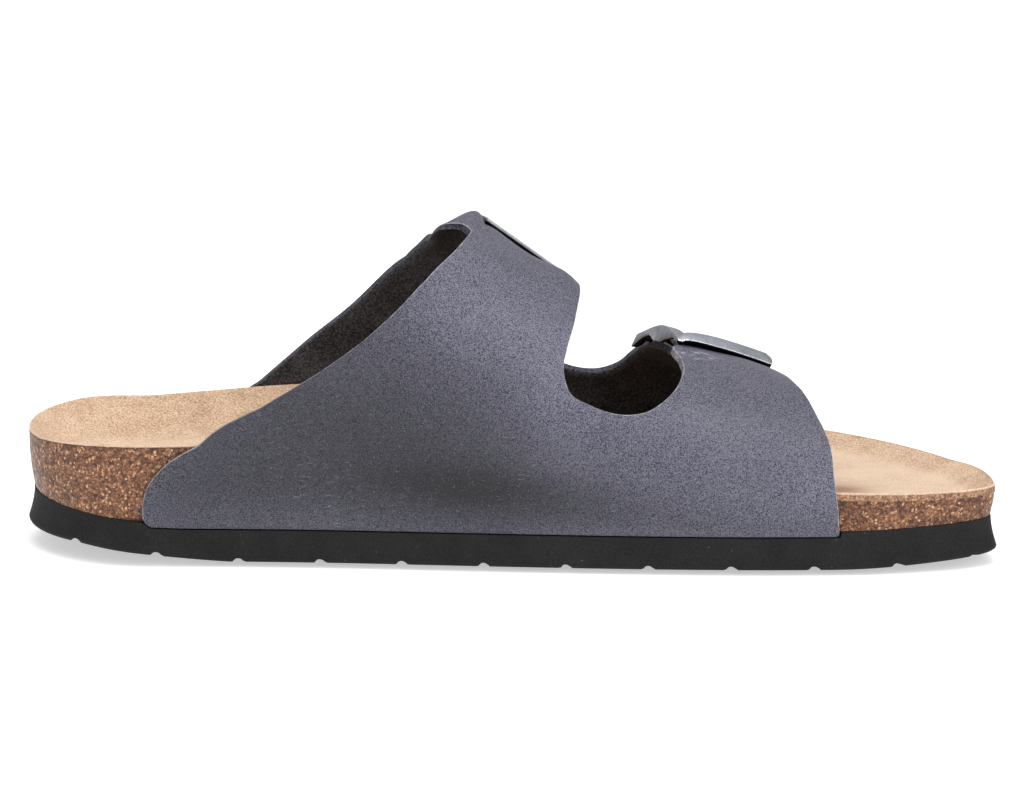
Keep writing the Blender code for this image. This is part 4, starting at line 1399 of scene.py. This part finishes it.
    def build(self, last: Last, metal: Material) -> None:
        """Makes the frame and the prong.

        Args:
            last: The foot form.
            metal: Their finish.
        """
        line = self._middle_line()
        middle, beyond = line[:, :2], line[:, 2:]
        tip = np.clip(-beyond[:, 1], 0, 1)
        twist = np.interp(middle[:, 0], self.twist_at, np.radians(self.tip_twist)) * tip**2
        section = self._section()
        side = np.sqrt(np.minimum(1.0, np.abs(beyond[:, 0])))
        rings, shine = [], []
        for corner in section + section[:1]:
            out = corner.out * np.cos(twist) + corner.up * np.sin(twist)
            rise = corner.up * np.cos(twist) - corner.out * np.sin(twist)
            past = middle[:, 1] + beyond[:, 1] * out
            along = (middle[:, 0] + beyond[:, 0] * out) * (1 + self.frame_flare * past / self.frame_width)
            rear = np.interp(past, *np.transpose(self.rear_flange))
            front = np.interp(past, *np.transpose(self.front_flange))
            drop = corner.flange * self.flange_scale * np.where(beyond[:, 0] < 0, rear, front) * side
            drop += corner.lip * self.tip_lip * np.sqrt(tip)
            # Shine carried to the mesh: painted highlight above 0, painted shade below 0.
            shine.append(corner.shine + (corner.tip_shine - corner.shine) * self.tip_blend(tip))
            rings.append(self.point(last, along, past, self.frame_lift(past) + rise - drop))
        points = last.placed(np.stack(rings))
        frame = Piece(f"{self.name}_frame", points, ring_faces(len(rings), len(line)), [metal], sharp=50.0)
        frame.build(Slot.METAL, [f"{self.name}_buckle_frame"], weld=True, shine=np.stack(shine))
        self._build_prong(last, metal)

    def _build_prong(self, last: Last, metal: Material) -> None:
        """Round prong from the pivot bar, up through the strap's hole and straight on to the tip bar."""
        radius, hole = self.prong_radius, self.hole_past
        over_tip = self.tip_lift + self.thickness / 2 + radius - self.prong_sink
        over_strap = self.strap_top(hole - self.hole_edge) + radius + self.clearance
        rows = [(self.frame_width - self.bar / 2, self.pivot_lift)]
        rows += [(hole + bend.past, over_strap + bend.lift) for bend in self.prong_dip]
        straight = len(rows)
        rows += [(bend.past, over_tip + bend.lift) for bend in self.prong_end]
        keys = self.point(last, np.zeros(len(rows)), *np.transpose(rows))
        start, stop = keys[straight - 1], keys[straight]
        between = [start + (stop - start) * share for share in (0.3, 0.7)]
        keys = np.insert(keys, straight, between, axis=0)
        reach = travelled(keys)
        steps = np.linspace(0, reach[-1], self.prong_steps)
        middle = np.stack([SmoothCurve(reach, keys[:, k])(steps) for k in range(3)], axis=-1)
        level = np.full(2, self.tip_lift)
        bars = self.point(last, np.array([-1.0, 1.0]), np.full(2, self.prong_middle), level)
        aside = unit(bars[1] - bars[0])
        upward = unit(np.cross(aside, np.gradient(middle, axis=0)))
        left = (reach[-1] - steps) / radius
        taper = self.prong_tip + (1 - self.prong_tip) * self.prong_taper(left)
        radii = radius * taper * np.sqrt(np.clip(1 - (1 - np.clip(left, 0, 1)) ** 2, self.prong_least, 1))
        turns = 2 * math.pi * np.arange(self.prong_sides) / self.prong_sides
        rings = []
        for step in range(len(steps)):
            ring = np.outer(np.cos(turns), aside) + np.outer(np.sin(turns), upward[step])
            rings.append(middle[step] + ring * radii[step])
        count = len(turns)
        faces = ring_faces(len(rings), count)
        faces.append(tuple(range(count)))
        faces.append(tuple(range((len(rings) - 1) * count, len(rings) * count)))
        points = last.placed(np.stack(rings))
        prong = Piece(f"{self.name}_prong", points, faces, [metal])
        prong.build(Slot.METAL, [f"{self.name}_buckle_prong"], shine=np.zeros(points.shape[:2]))

    def strap_top(self, past: float) -> float:
        """Height of the strap's upper face over the foot form on the buckle's middle line."""
        return float(self.strap_lift(*self.place(np.array(0.0), np.array(past)))) + self.wall


@dataclass
class Quarter:
    """Leather quarter with two strap arms, cut round a notch, as a slab with rounded edges."""

    side: Side
    last: Last
    rear_strap: tuple[Strap, ...]
    front_strap: tuple[Strap, ...]
    rear_cut: tuple[Cut, ...]
    front_cut: tuple[Cut, ...]
    notch: tuple[Cut, ...]
    lift: Callable[[Array, Array, Array], Array]
    creases: tuple[Patch, ...] = ()
    # Tone patches: partly the leather's own tone, partly painted shade and painted light.
    tones_light_and_shade: tuple[Patch, ...] = ()
    scuffs: tuple[Patch, ...] = ()
    wall: float = 2.4
    strap_step: float = 0.034
    rear_steps: int = 11
    foot_steps: int = 15
    front_steps: int = 8
    notch_shares: tuple[float, float] = (0.22, 0.55)
    tail_bow: float = 0.06
    tail_bow_steps: float = 4.0
    fineness: int = 6
    columns: int = 46
    girth_scale: float = 80.0
    edge_round: float = 0.62
    edge_flat: float = 0.72
    foot_round: float = 3.0
    foot_flat: float = 0.05
    edge_steps: tuple[float, ...] = (0.0, 0.07, 0.18, 0.33, 0.5, 0.75)
    width_tries: int = 25
    foot_blend: Blend = Blend(0.97, 0.03)
    foot_skip: float = 50.0
    brushed_end: Blend = Blend(135.0, 25.0)

    def foot_ends(self) -> tuple[float, float]:
        """First and last stations of the quarter's foot in the sole's rabbet."""
        gap = 2 * self.last.fit_gap
        return min(row.station for row in self.rear_cut) - gap, self.front_cut[0].station + gap

    def _path(self, rows: Sequence[Cut], shares: Array) -> Array:
        """Points at shares of the length of the smooth curve through rows of station and girth."""
        points = np.array(rows) * (1.0, self.girth_scale)
        reach = travelled(points)
        at = shares * reach[-1]
        along, around = SmoothCurve(reach, points[:, 0])(at), SmoothCurve(reach, points[:, 1])(at)
        return np.stack([along, around / self.girth_scale], axis=-1)

    def _strap_edges(self, rows: Sequence[Strap]) -> tuple[Array, Array]:
        """Back and front edge points of a strap, in the order of its rows."""
        ordered = sorted(rows, key=lambda row: row.girth)
        first, final = rows[0].girth, rows[-1].girth
        count = max(2, round(abs(final - first) / self.strap_step)) * self.fineness
        girths = np.linspace(first, final, count + 1)
        back = SmoothCurve.of(ordered, "back", "girth")(girths)
        front = SmoothCurve.of(ordered, "front", "girth")(girths)
        return np.stack([back, girths], axis=-1), np.stack([front, girths], axis=-1)

    def _borders(self) -> tuple[Array, Array]:
        """Outside and inside edges of the quarter, matched row by row, as station and girth."""
        fine = self.fineness

        def shares(count: int, start: float = 0.0, stop: float = 1.0) -> Array:
            return np.linspace(start, stop, count * fine + 1)[1:]

        rear_back, rear_front = self._strap_edges(self.rear_strap)
        front_back, front_front = self._strap_edges(self.front_strap)
        outside = np.concatenate([
            rear_back,
            self._path(self.rear_cut, shares(self.rear_steps)),
            self._path((self.rear_cut[-1], self.front_cut[0]), shares(self.foot_steps)),
            self._path(self.front_cut, shares(self.front_steps)),
            front_front[1:],
        ])
        rear_end, front_start = self.notch_shares
        notch = np.concatenate([
            shares(self.rear_steps, 0.0, rear_end),
            shares(self.foot_steps, rear_end, front_start),
            shares(self.front_steps, front_start, 1.0),
        ])
        inside = np.concatenate([rear_front, self._path(self.notch, notch), front_back[1:]])
        return outside, inside

    def _rows(self) -> tuple[Array, Array, Array]:
        """Outside and inside edges at the slab's rows, closer at the strap ends, and the rows' steps."""
        outside, inside = self._borders()
        final = (len(outside) - 1) / self.fineness
        close = np.array(self.edge_steps) / (self.strap_step * GIRTH_LENGTH)
        even = np.linspace(close[-1], final - close[-1], len(outside))[1:-1]
        steps = np.concatenate([close, even, final - close[::-1]])
        grid = np.arange(len(outside)) / self.fineness

        def pick(border: Array) -> Array:
            return np.stack([np.interp(steps, grid, border[:, k]) for k in (0, 1)], axis=-1)

        return pick(outside), pick(inside), steps

    def sheet(self) -> dict[str, Array]:
        """Grid of the quarter's underside.

        Returns:
            Points, normals, stations and girths, each by row and column.
        """
        outside, inside, steps = self._rows()
        tries = np.linspace(0, 1, self.width_tries)
        across = outside[:, None] + (inside - outside)[:, None] * tries[None, :, None]
        width = travelled(self.last.foot(across[..., 0], across[..., 1]), axis=1)[:, -1:]
        close = np.array(self.edge_steps)[None, :] / width
        even = np.linspace(0, 1, self.columns + 2)[None, 1:-1]
        middle = close[:, -1:] + (1 - 2 * close[:, -1:]) * even
        share = np.concatenate([close, middle, 1 - close[:, ::-1]], axis=1)
        place = outside[:, None] + (inside - outside)[:, None] * share[..., None]
        station, girth = place[..., 0], place[..., 1]
        end = np.minimum(steps, steps[-1] - steps)
        bow = np.maximum(0, 1 - end / self.tail_bow_steps)
        bow *= math.copysign(self.tail_bow, self.rear_strap[0].girth)
        girth = girth - bow[:, None] * (2 * share - 1) ** 2
        rear = np.broadcast_to((steps <= steps[-1] / 2)[:, None], station.shape)
        points = self.last.over_foot(station, girth, self.lift(rear, station, girth))
        down, over = np.gradient(points, axis=0), np.gradient(points, axis=1)
        normal = unit(np.cross(down, over))
        outward = self.last.over_foot(station, girth, np.ones_like(station)) - self.last.foot(station, girth)
        normal *= np.sign((normal * outward).sum(axis=2, keepdims=True))
        points = points + normal * self.patched(self.creases, station, girth)[..., None]
        return {"points": points, "normal": normal, "station": station, "girth": girth}

    def patched(self, patches: Sequence[Patch], station: Array, girth: Array) -> Array:
        """Sum of soft patches.

        Args:
            patches: The patches.
            station: Stations.
            girth: Girths, of the same shape.

        Returns:
            Amount at each point.
        """
        total = np.zeros_like(station)
        for patch in patches:
            x, y = station - patch.station, (girth - patch.girth) * self.girth_scale
            cos, sin = math.cos(math.radians(patch.angle)), math.sin(math.radians(patch.angle))
            along, aside = (x * cos + y * sin) / patch.length, (y * cos - x * sin) / patch.width
            total += patch.amount * np.exp(-(along**2) - aside**2)
        return total

    @staticmethod
    def _rounding(distance: Array, reach: Array, flat: Array) -> Array:
        """Share of the half wall left at a distance from an edge that is rounded over a reach."""
        inward = np.clip(distance / reach, 0, 1)
        return flat + (1 - flat) * np.sqrt(1 - (1 - inward) ** 2)

    def build(self, finishes: Sequence[Material], holes: Sequence[Object] = ()) -> None:
        """Makes the slab.

        Args:
            finishes: Of the outer face, the cut edge and the lining.
            holes: Cutters of the punched holes, removed afterwards.
        """
        sheet = self.sheet()
        points, normal = sheet["points"], sheet["normal"]
        rows, columns = points.shape[:2]
        from_outside = travelled(points, axis=1)
        from_inside = from_outside[:, -1:] - from_outside
        from_start = travelled(points, axis=0)
        from_tail = np.minimum(from_start, from_start[-1:] - from_start)
        at_foot = self.foot_blend(np.abs(sheet["girth"][:, :1]))
        free_edge = np.minimum(np.minimum(from_inside, from_tail), from_outside + self.foot_skip * at_foot)
        rounding = self._rounding(free_edge, self.edge_round, self.edge_flat)
        rolled = self._rounding(from_outside, self.foot_round, self.foot_flat)
        top_share = np.minimum(rounding, 1 - at_foot * (1 - rolled))
        half = self.wall / 2
        top = points + normal * (half * (1 + top_share))[..., None]
        bottom = points + normal * (half * (1 - rounding))[..., None]
        index = np.arange(rows * columns).reshape(rows, columns)
        faces, finish = [], []

        def add(a: Array, b: Array, c: Array, d: Array, which: int) -> None:
            made = np.stack([a, b, c, d], axis=-1).reshape(-1, 4).tolist()
            faces.extend(tuple(face) for face in made)
            finish.extend([which] * len(made))

        low = index + rows * columns
        add(index[:-1, :-1], index[:-1, 1:], index[1:, 1:], index[1:, :-1], 0)
        add(low[:-1, :-1], low[1:, :-1], low[1:, 1:], low[:-1, 1:], 2)
        for column in (0, -1):
            add(index[:-1, column], index[1:, column], low[1:, column], low[:-1, column], 1)
        for row in (0, -1):
            add(index[row, :-1], index[row, 1:], low[row, 1:], low[row, :-1], 1)
        name = f"{self.side.value}_quarter"
        both = self.last.placed(np.stack([top, bottom]))
        piece = Piece(name, both, faces, finishes, np.array(finish), sharp=60.0)
        place = (sheet["station"], sheet["girth"])
        # Tone: the leather's own tone together with painted shade and painted light; wear: real scuffs.
        tone, wear = self.patched(self.tones_light_and_shade, *place), self.patched(self.scuffs, *place)
        brushed = 1 - self.brushed_end(sheet["station"])
        measures = {"cut_edge": free_edge, "tone": tone, "wear": wear, "brushed": brushed}
        both_faces = {key: np.stack([numbers, numbers]) for key, numbers in measures.items()}
        made = piece.build(Slot.LEATHER, ["upper"], **both_faces)
        for hole in holes:
            punch = made.modifiers.new(hole.name, "BOOLEAN")
            punch.object = hole
        if holes:
            self._apply(made)
        for hole in holes:
            bpy.data.objects.remove(hole)

    @staticmethod
    def _apply(made: Object) -> None:
        """Makes an object's modifiers part of its mesh."""
        bpy.context.view_layer.update()
        graph = bpy.context.evaluated_depsgraph_get()
        data = bpy.data.meshes.new_from_object(made.evaluated_get(graph))
        made.modifiers.clear()
        made.data = data


@dataclass
class Upper:
    """Two leather quarters whose straps cross under the buckles."""

    last: Last
    rear_buckle: Buckle = Buckle(
        name="rear", station=141.2, girth=0.12, slope=math.radians(32), turn=math.radians(22),
        tip_lift=5.1, rear_raise=1.4, front_raise=0.3, droop=1.5, droop_range=(0.0, 14.0),
        flange_scale=0.3, tip_lip=1.0, tip_side=0.0, squareness=1.0,
    )
    front_buckle: Buckle = Buckle(
        name="front", station=199.0, girth=0.07, slope=math.radians(17.5), turn=math.radians(18),
        tip_lift=6.1, rear_raise=0.5, front_raise=1.3, droop=2.6, droop_range=(10.0, 25.0),
        tip_twist=(24.0, 44.0, 46.0), crown=1.3, tip_lip=2.5, squareness=1.0,
    )
    hole_numbers: tuple[int, ...] = (-1, 0, 1, 2)
    hole_pitch: float = 9.0
    hole_radius: float = 1.7
    hole_sides: int = 24
    hole_below: float = 1.2
    hole_above: float = 2.0
    # Paler copy of the cut edge for the inner quarter: burnished, and partly painted light, as these edges
    # face the light.
    raw_edge: CutEdge = CutEdge(
        name="raw_cut_edge", dark=(0.10, 0.098, 0.104), light=(0.40, 0.395, 0.41), fluff=(0.70, 0.69, 0.70)
    )

    def strap_lift(self, rear: Array, station: Array, girth: Array) -> Array:
        """Height of the inner quarter over the foot form, on the rear strap where rear is true."""
        lifts = (buckle.strap_lift(station, girth) for buckle in (self.rear_buckle, self.front_buckle))
        return np.where(rear, *lifts)

    @cached_property
    def inner(self) -> Quarter:
        """Inner quarter, with the long straps that pass through the buckles."""
        return Quarter(
            side=Side.INNER,
            last=self.last,
            lift=self.strap_lift,
            rear_strap=table(
                Strap,
                (0.52, 116.5, 138.0), (0.34, 123.1, 144.6), (0.21, 127.9, 149.4), (0.17, 129.4, 151.4),
                (0.13, 130.9, 155.0), (0.08, 131.6, 156.4), (0.04, 129.2, 156.6), (0.0, 127.4, 156.6),
                (-0.10, 126.1, 157.0), (-0.20, 122.9, 156.9), (-0.33, 115.3, 155.1),
            ),
            front_strap=table(
                Strap,
                (-0.10, 186.6, 222.0), (-0.06, 185.0, 220.8), (-0.02, 184.4, 219.8), (0.02, 185.6, 218.8),
                (0.05, 187.2, 217.4), (0.08, 187.0, 214.2), (0.11, 186.2, 210.2), (0.15, 185.0, 208.3),
                (0.28, 181.4, 204.5), (0.43, 177.6, 200.4),
            ),
            rear_cut=table(
                Cut,
                (115.3, -0.33), (107.7, -0.427), (98.7, -0.507), (89.0, -0.565), (70.0, -0.642),
                (51.5, -0.70), (40.0, -0.79), (35.8, -0.87), (35.0, -0.94), (35.3, -0.98), (36.8, -1.0),
            ),
            front_cut=table(
                Cut,
                (232.4, -1.0), (232.0, -0.79), (230.8, -0.58), (229.4, -0.38), (225.9, -0.217),
                (222.0, -0.10),
            ),
            notch=table(
                Cut,
                (155.1, -0.33), (154.3, -0.415), (156.3, -0.475), (161.9, -0.490), (171.2, -0.482),
                (177.5, -0.442), (183.3, -0.349), (186.7, -0.25), (187.6, -0.165), (186.6, -0.10),
            ),
            creases=table(
                Patch,
                (164.0, -0.66, 86.0, 14.0, 10.0, -0.35), (120.0, -0.62, 30.0, 40.0, 9.0, -0.30),
                (206.0, -0.55, 70.0, 18.0, 11.0, 0.30), (135.0, -0.93, 0.0, 110.0, 6.0, 0.30),
                (151.5, -0.02, 0.0, 7.0, 9.0, 2.7), (223.0, -0.17, -40.0, 9.0, 16.0, 1.0),
                (214.5, -0.05, 0.0, 9.0, 12.0, 0.7), (204.0, 0.03, 0.0, 13.0, 9.0, 2.2),
                (134.5, 0.03, 0.0, 8.0, 5.0, 1.0), (131.0, 0.03, 0.0, 3.5, 6.0, 0.6),
                (191.0, 0.02, 0.0, 6.0, 8.0, 0.6),
            ),
            # Tone patches: the dark bands low along the foot and the dark patch near the front buckle are
            # painted shade, the lighter patches towards the top and front partly painted light; the rest is
            # the leather's own tone.
            tones_light_and_shade=table(
                Patch,
                (98.0, -0.72, 0.0, 75.0, 26.0, -0.47), (130.0, -0.75, 0.0, 25.0, 30.0, -0.10),
                (55.0, -0.90, 0.0, 22.0, 20.0, -0.15), (172.0, -0.55, 0.0, 24.0, 26.0, 0.20),
                (208.0, -0.40, 0.0, 36.0, 40.0, 0.20), (139.0, -0.27, 0.0, 22.0, 16.0, 0.20),
                (118.0, -0.36, 0.0, 14.0, 12.0, 0.32), (140.0, -0.42, 0.0, 24.0, 14.0, 0.25),
                (153.0, -0.52, 0.0, 12.0, 12.0, 0.25), (85.0, -0.66, 0.0, 30.0, 8.0, -0.15),
                (115.0, -0.85, 0.0, 60.0, 10.0, -0.28), (150.0, -0.84, 0.0, 40.0, 9.0, -0.24),
                (207.0, -0.24, 0.0, 18.0, 9.0, -0.26), (226.0, -0.66, 0.0, 8.0, 14.0, 0.35),
                (190.0, -0.93, 0.0, 50.0, 5.0, -0.15),
            ),
            scuffs=table(
                Patch,
                (191.5, -0.03, 75.0, 5.0, 3.0, 0.8), (186.5, -0.08, 80.0, 7.0, 1.8, 0.9),
                (196.0, -0.02, 20.0, 6.0, 2.0, 0.5),
            ),
        )

    @cached_property
    def outer(self) -> Quarter:
        """Outer quarter, with the arms that carry the buckles and run on under the straps."""
        return Quarter(
            side=Side.OUTER,
            last=self.last,
            lift=lambda rear, station, girth: np.zeros_like(station),
            rear_strap=table(
                Strap,
                (-0.17, 131.0, 155.5), (-0.07, 124.5, 154.5), (-0.035, 121.7, 154.0), (0.0, 120.3, 153.5),
                (0.06, 119.5, 152.3), (0.17, 118.0, 149.8), (0.31, 113.0, 147.6), (0.39, 108.4, 147.0),
            ),
            front_strap=table(
                Strap,
                (0.39, 176.8, 206.4), (0.30, 178.8, 206.8), (0.20, 182.0, 208.4), (0.10, 185.5, 210.8),
                (0.0, 188.3, 213.4), (-0.17, 190.5, 217.0),
            ),
            rear_cut=table(
                Cut,
                (108.4, 0.39), (93.0, 0.535), (77.6, 0.628), (62.4, 0.716), (50.2, 0.805), (45.8, 0.87),
                (45.0, 0.94), (45.3, 0.98), (46.8, 1.0),
            ),
            front_cut=table(
                Cut,
                (210.0, 1.0), (208.5, 0.80), (207.0, 0.60), (206.4, 0.39),
            ),
            notch=table(
                Cut,
                (147.0, 0.39), (147.6, 0.50), (151.0, 0.57), (157.0, 0.587), (166.7, 0.57), (171.8, 0.52),
                (174.6, 0.455), (176.8, 0.39),
            ),
            creases=table(
                Patch,
                (160.0, 0.72, 86.0, 14.0, 10.0, -0.30), (125.0, 0.93, 0.0, 90.0, 6.0, 0.30),
                (126.3, 0.06, 0.0, 4.4, 10.0, 5.2), (112.5, 0.32, 0.0, 4.0, 7.0, -1.3),
                (117.5, 0.10, 0.0, 4.6, 13.0, -6.7),
            ),
            tones_light_and_shade=(Patch(110.0, 0.75, 0.0, 60.0, 30.0, -0.3),),
        )

    def _hole(self, buckle: Buckle, number: int) -> Object:
        """Cutter of one punched hole, counted from the prong's."""
        past = np.full(2, buckle.hole_past + number * self.hole_pitch)
        top = buckle.strap_top(float(past[0]))
        lifts = np.array([top - buckle.wall - self.hole_below, top + self.hole_above])
        ends = buckle.point(self.last, np.zeros(2), past, lifts)
        low, high = (Vector(end) for end in self.last.placed(ends))
        mesh = bmesh.new()
        radius, depth = self.hole_radius * MM, (high - low).length
        bmesh.ops.create_cone(
            mesh, cap_ends=True, segments=self.hole_sides, radius1=radius, radius2=radius, depth=depth
        )
        data = bpy.data.meshes.new(f"{buckle.name}_hole_{number}")
        mesh.to_mesh(data)
        mesh.free()
        cutter = add_object(data.name, data)
        cutter.location = (low + high) / 2
        cutter.rotation_mode = "QUATERNION"
        cutter.rotation_quaternion = (high - low).to_track_quat("Z", "Y")
        return cutter

    def build(self) -> None:
        """Makes both quarters and the buckles."""
        leather, lining = Leather().material(), Lining().material()
        buckles = (self.rear_buckle, self.front_buckle)
        holes = [self._hole(buckle, number) for buckle in buckles for number in self.hole_numbers]
        self.inner.build([leather, self.raw_edge.material(), lining], holes)
        self.outer.build([leather, CutEdge().material(), lining])
        metal = Pewter().material()
        for buckle in buckles:
            buckle.build(self.last, metal)


# Stage


@dataclass(frozen=True)
class Softbox:
    """Square area light that looks at the sandal."""

    name: str
    place: tuple[float, float, float]
    size: float
    power: float

    def build(self, target: Vector) -> None:
        """Adds the light."""
        data = bpy.data.lights.new(self.name, "AREA")
        data.size = self.size
        data.energy = self.power
        lamp = add_object(self.name, data)
        lamp.location = self.place
        lamp.rotation_mode = "QUATERNION"
        lamp.rotation_quaternion = (target - lamp.location).to_track_quat("-Z", "Y")


@dataclass(frozen=True)
class Studio:
    """Pale floor, soft light and the camera."""

    last: Last
    elevation: float = math.radians(12.12)
    distance: float = 1500.0
    look_at: tuple[float, float, float] = (140.0, 0.0, 43.15)
    pixels_per_mm: float = 3.45
    image_width: int = 1024
    sensor: float = 36.0
    floor_size: float = 16.0
    floor_cells: int = 8
    floor_gap: float = 0.1
    floor_colour: Colour = (0.80, 0.80, 0.80)
    floor_glow: float = 0.5
    sky: float = 0.55
    lights: tuple[Softbox, ...] = (
        Softbox("top_softbox", (0.1, -0.25, 1.9), 1.8, 26.0),
        Softbox("front_softbox", (0.9, -1.6, 1.0), 1.2, 9.0),
    )

    def build(self) -> None:
        """Makes floor, light and camera."""
        target = Vector(self.last.placed(np.array(self.look_at)))
        self._build_floor()
        world = bpy.data.worlds.new("studio")
        bpy.context.scene.world = world
        world.use_nodes = True
        background = world.node_tree.nodes["Background"]
        background.inputs["Color"].default_value = (1.0, 1.0, 1.0, 1.0)
        background.inputs["Strength"].default_value = self.sky
        for light in self.lights:
            light.build(target)
        bpy.context.scene.view_settings.view_transform = "Standard"
        self._build_camera(target)

    def _build_floor(self) -> None:
        """Adds the floor, a hair below the sole."""
        mesh = bmesh.new()
        cells = self.floor_cells
        bmesh.ops.create_grid(mesh, x_segments=cells, y_segments=cells, size=self.floor_size / 2)
        data = bpy.data.meshes.new("floor")
        mesh.to_mesh(data)
        mesh.free()
        graph = Graph("pale_floor")
        dressed = graph.dress(
            base_color=self.floor_colour,
            roughness=0.9,
            specular_ior_level=0.1,
            emission_color=(1.0, 1.0, 1.0),
            emission_strength=self.floor_glow,
        )
        data.materials.append(dressed)
        floor = add_object("floor", data)
        floor.location.z = -self.floor_gap * MM

    def _build_camera(self, target: Vector) -> None:
        """Adds the camera at the photograph's angle."""
        data = bpy.data.cameras.new("camera")
        data.sensor_width = self.sensor
        data.lens = self.pixels_per_mm * self.distance * self.sensor / self.image_width
        camera = add_object("camera", data)
        back = Vector((0.0, -math.cos(self.elevation), math.sin(self.elevation)))
        camera.location = target + back * self.distance * MM
        camera.rotation_euler = (math.pi / 2 - self.elevation, 0.0, 0.0)
        bpy.context.scene.camera = camera


def main() -> None:
    """Builds the sandal's looks round its frame."""
    logging.basicConfig(level=logging.INFO, format="%(message)s")
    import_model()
    last = Last()
    upper = Upper(last)
    plan = Plan(last, {Side.INNER: upper.inner.foot_ends(), Side.OUTER: upper.outer.foot_ends()})
    Outsole(plan).build()
    Footbed(plan).build()
    upper.build()
    Studio(last).build()


if __name__ == "__main__":
    main()
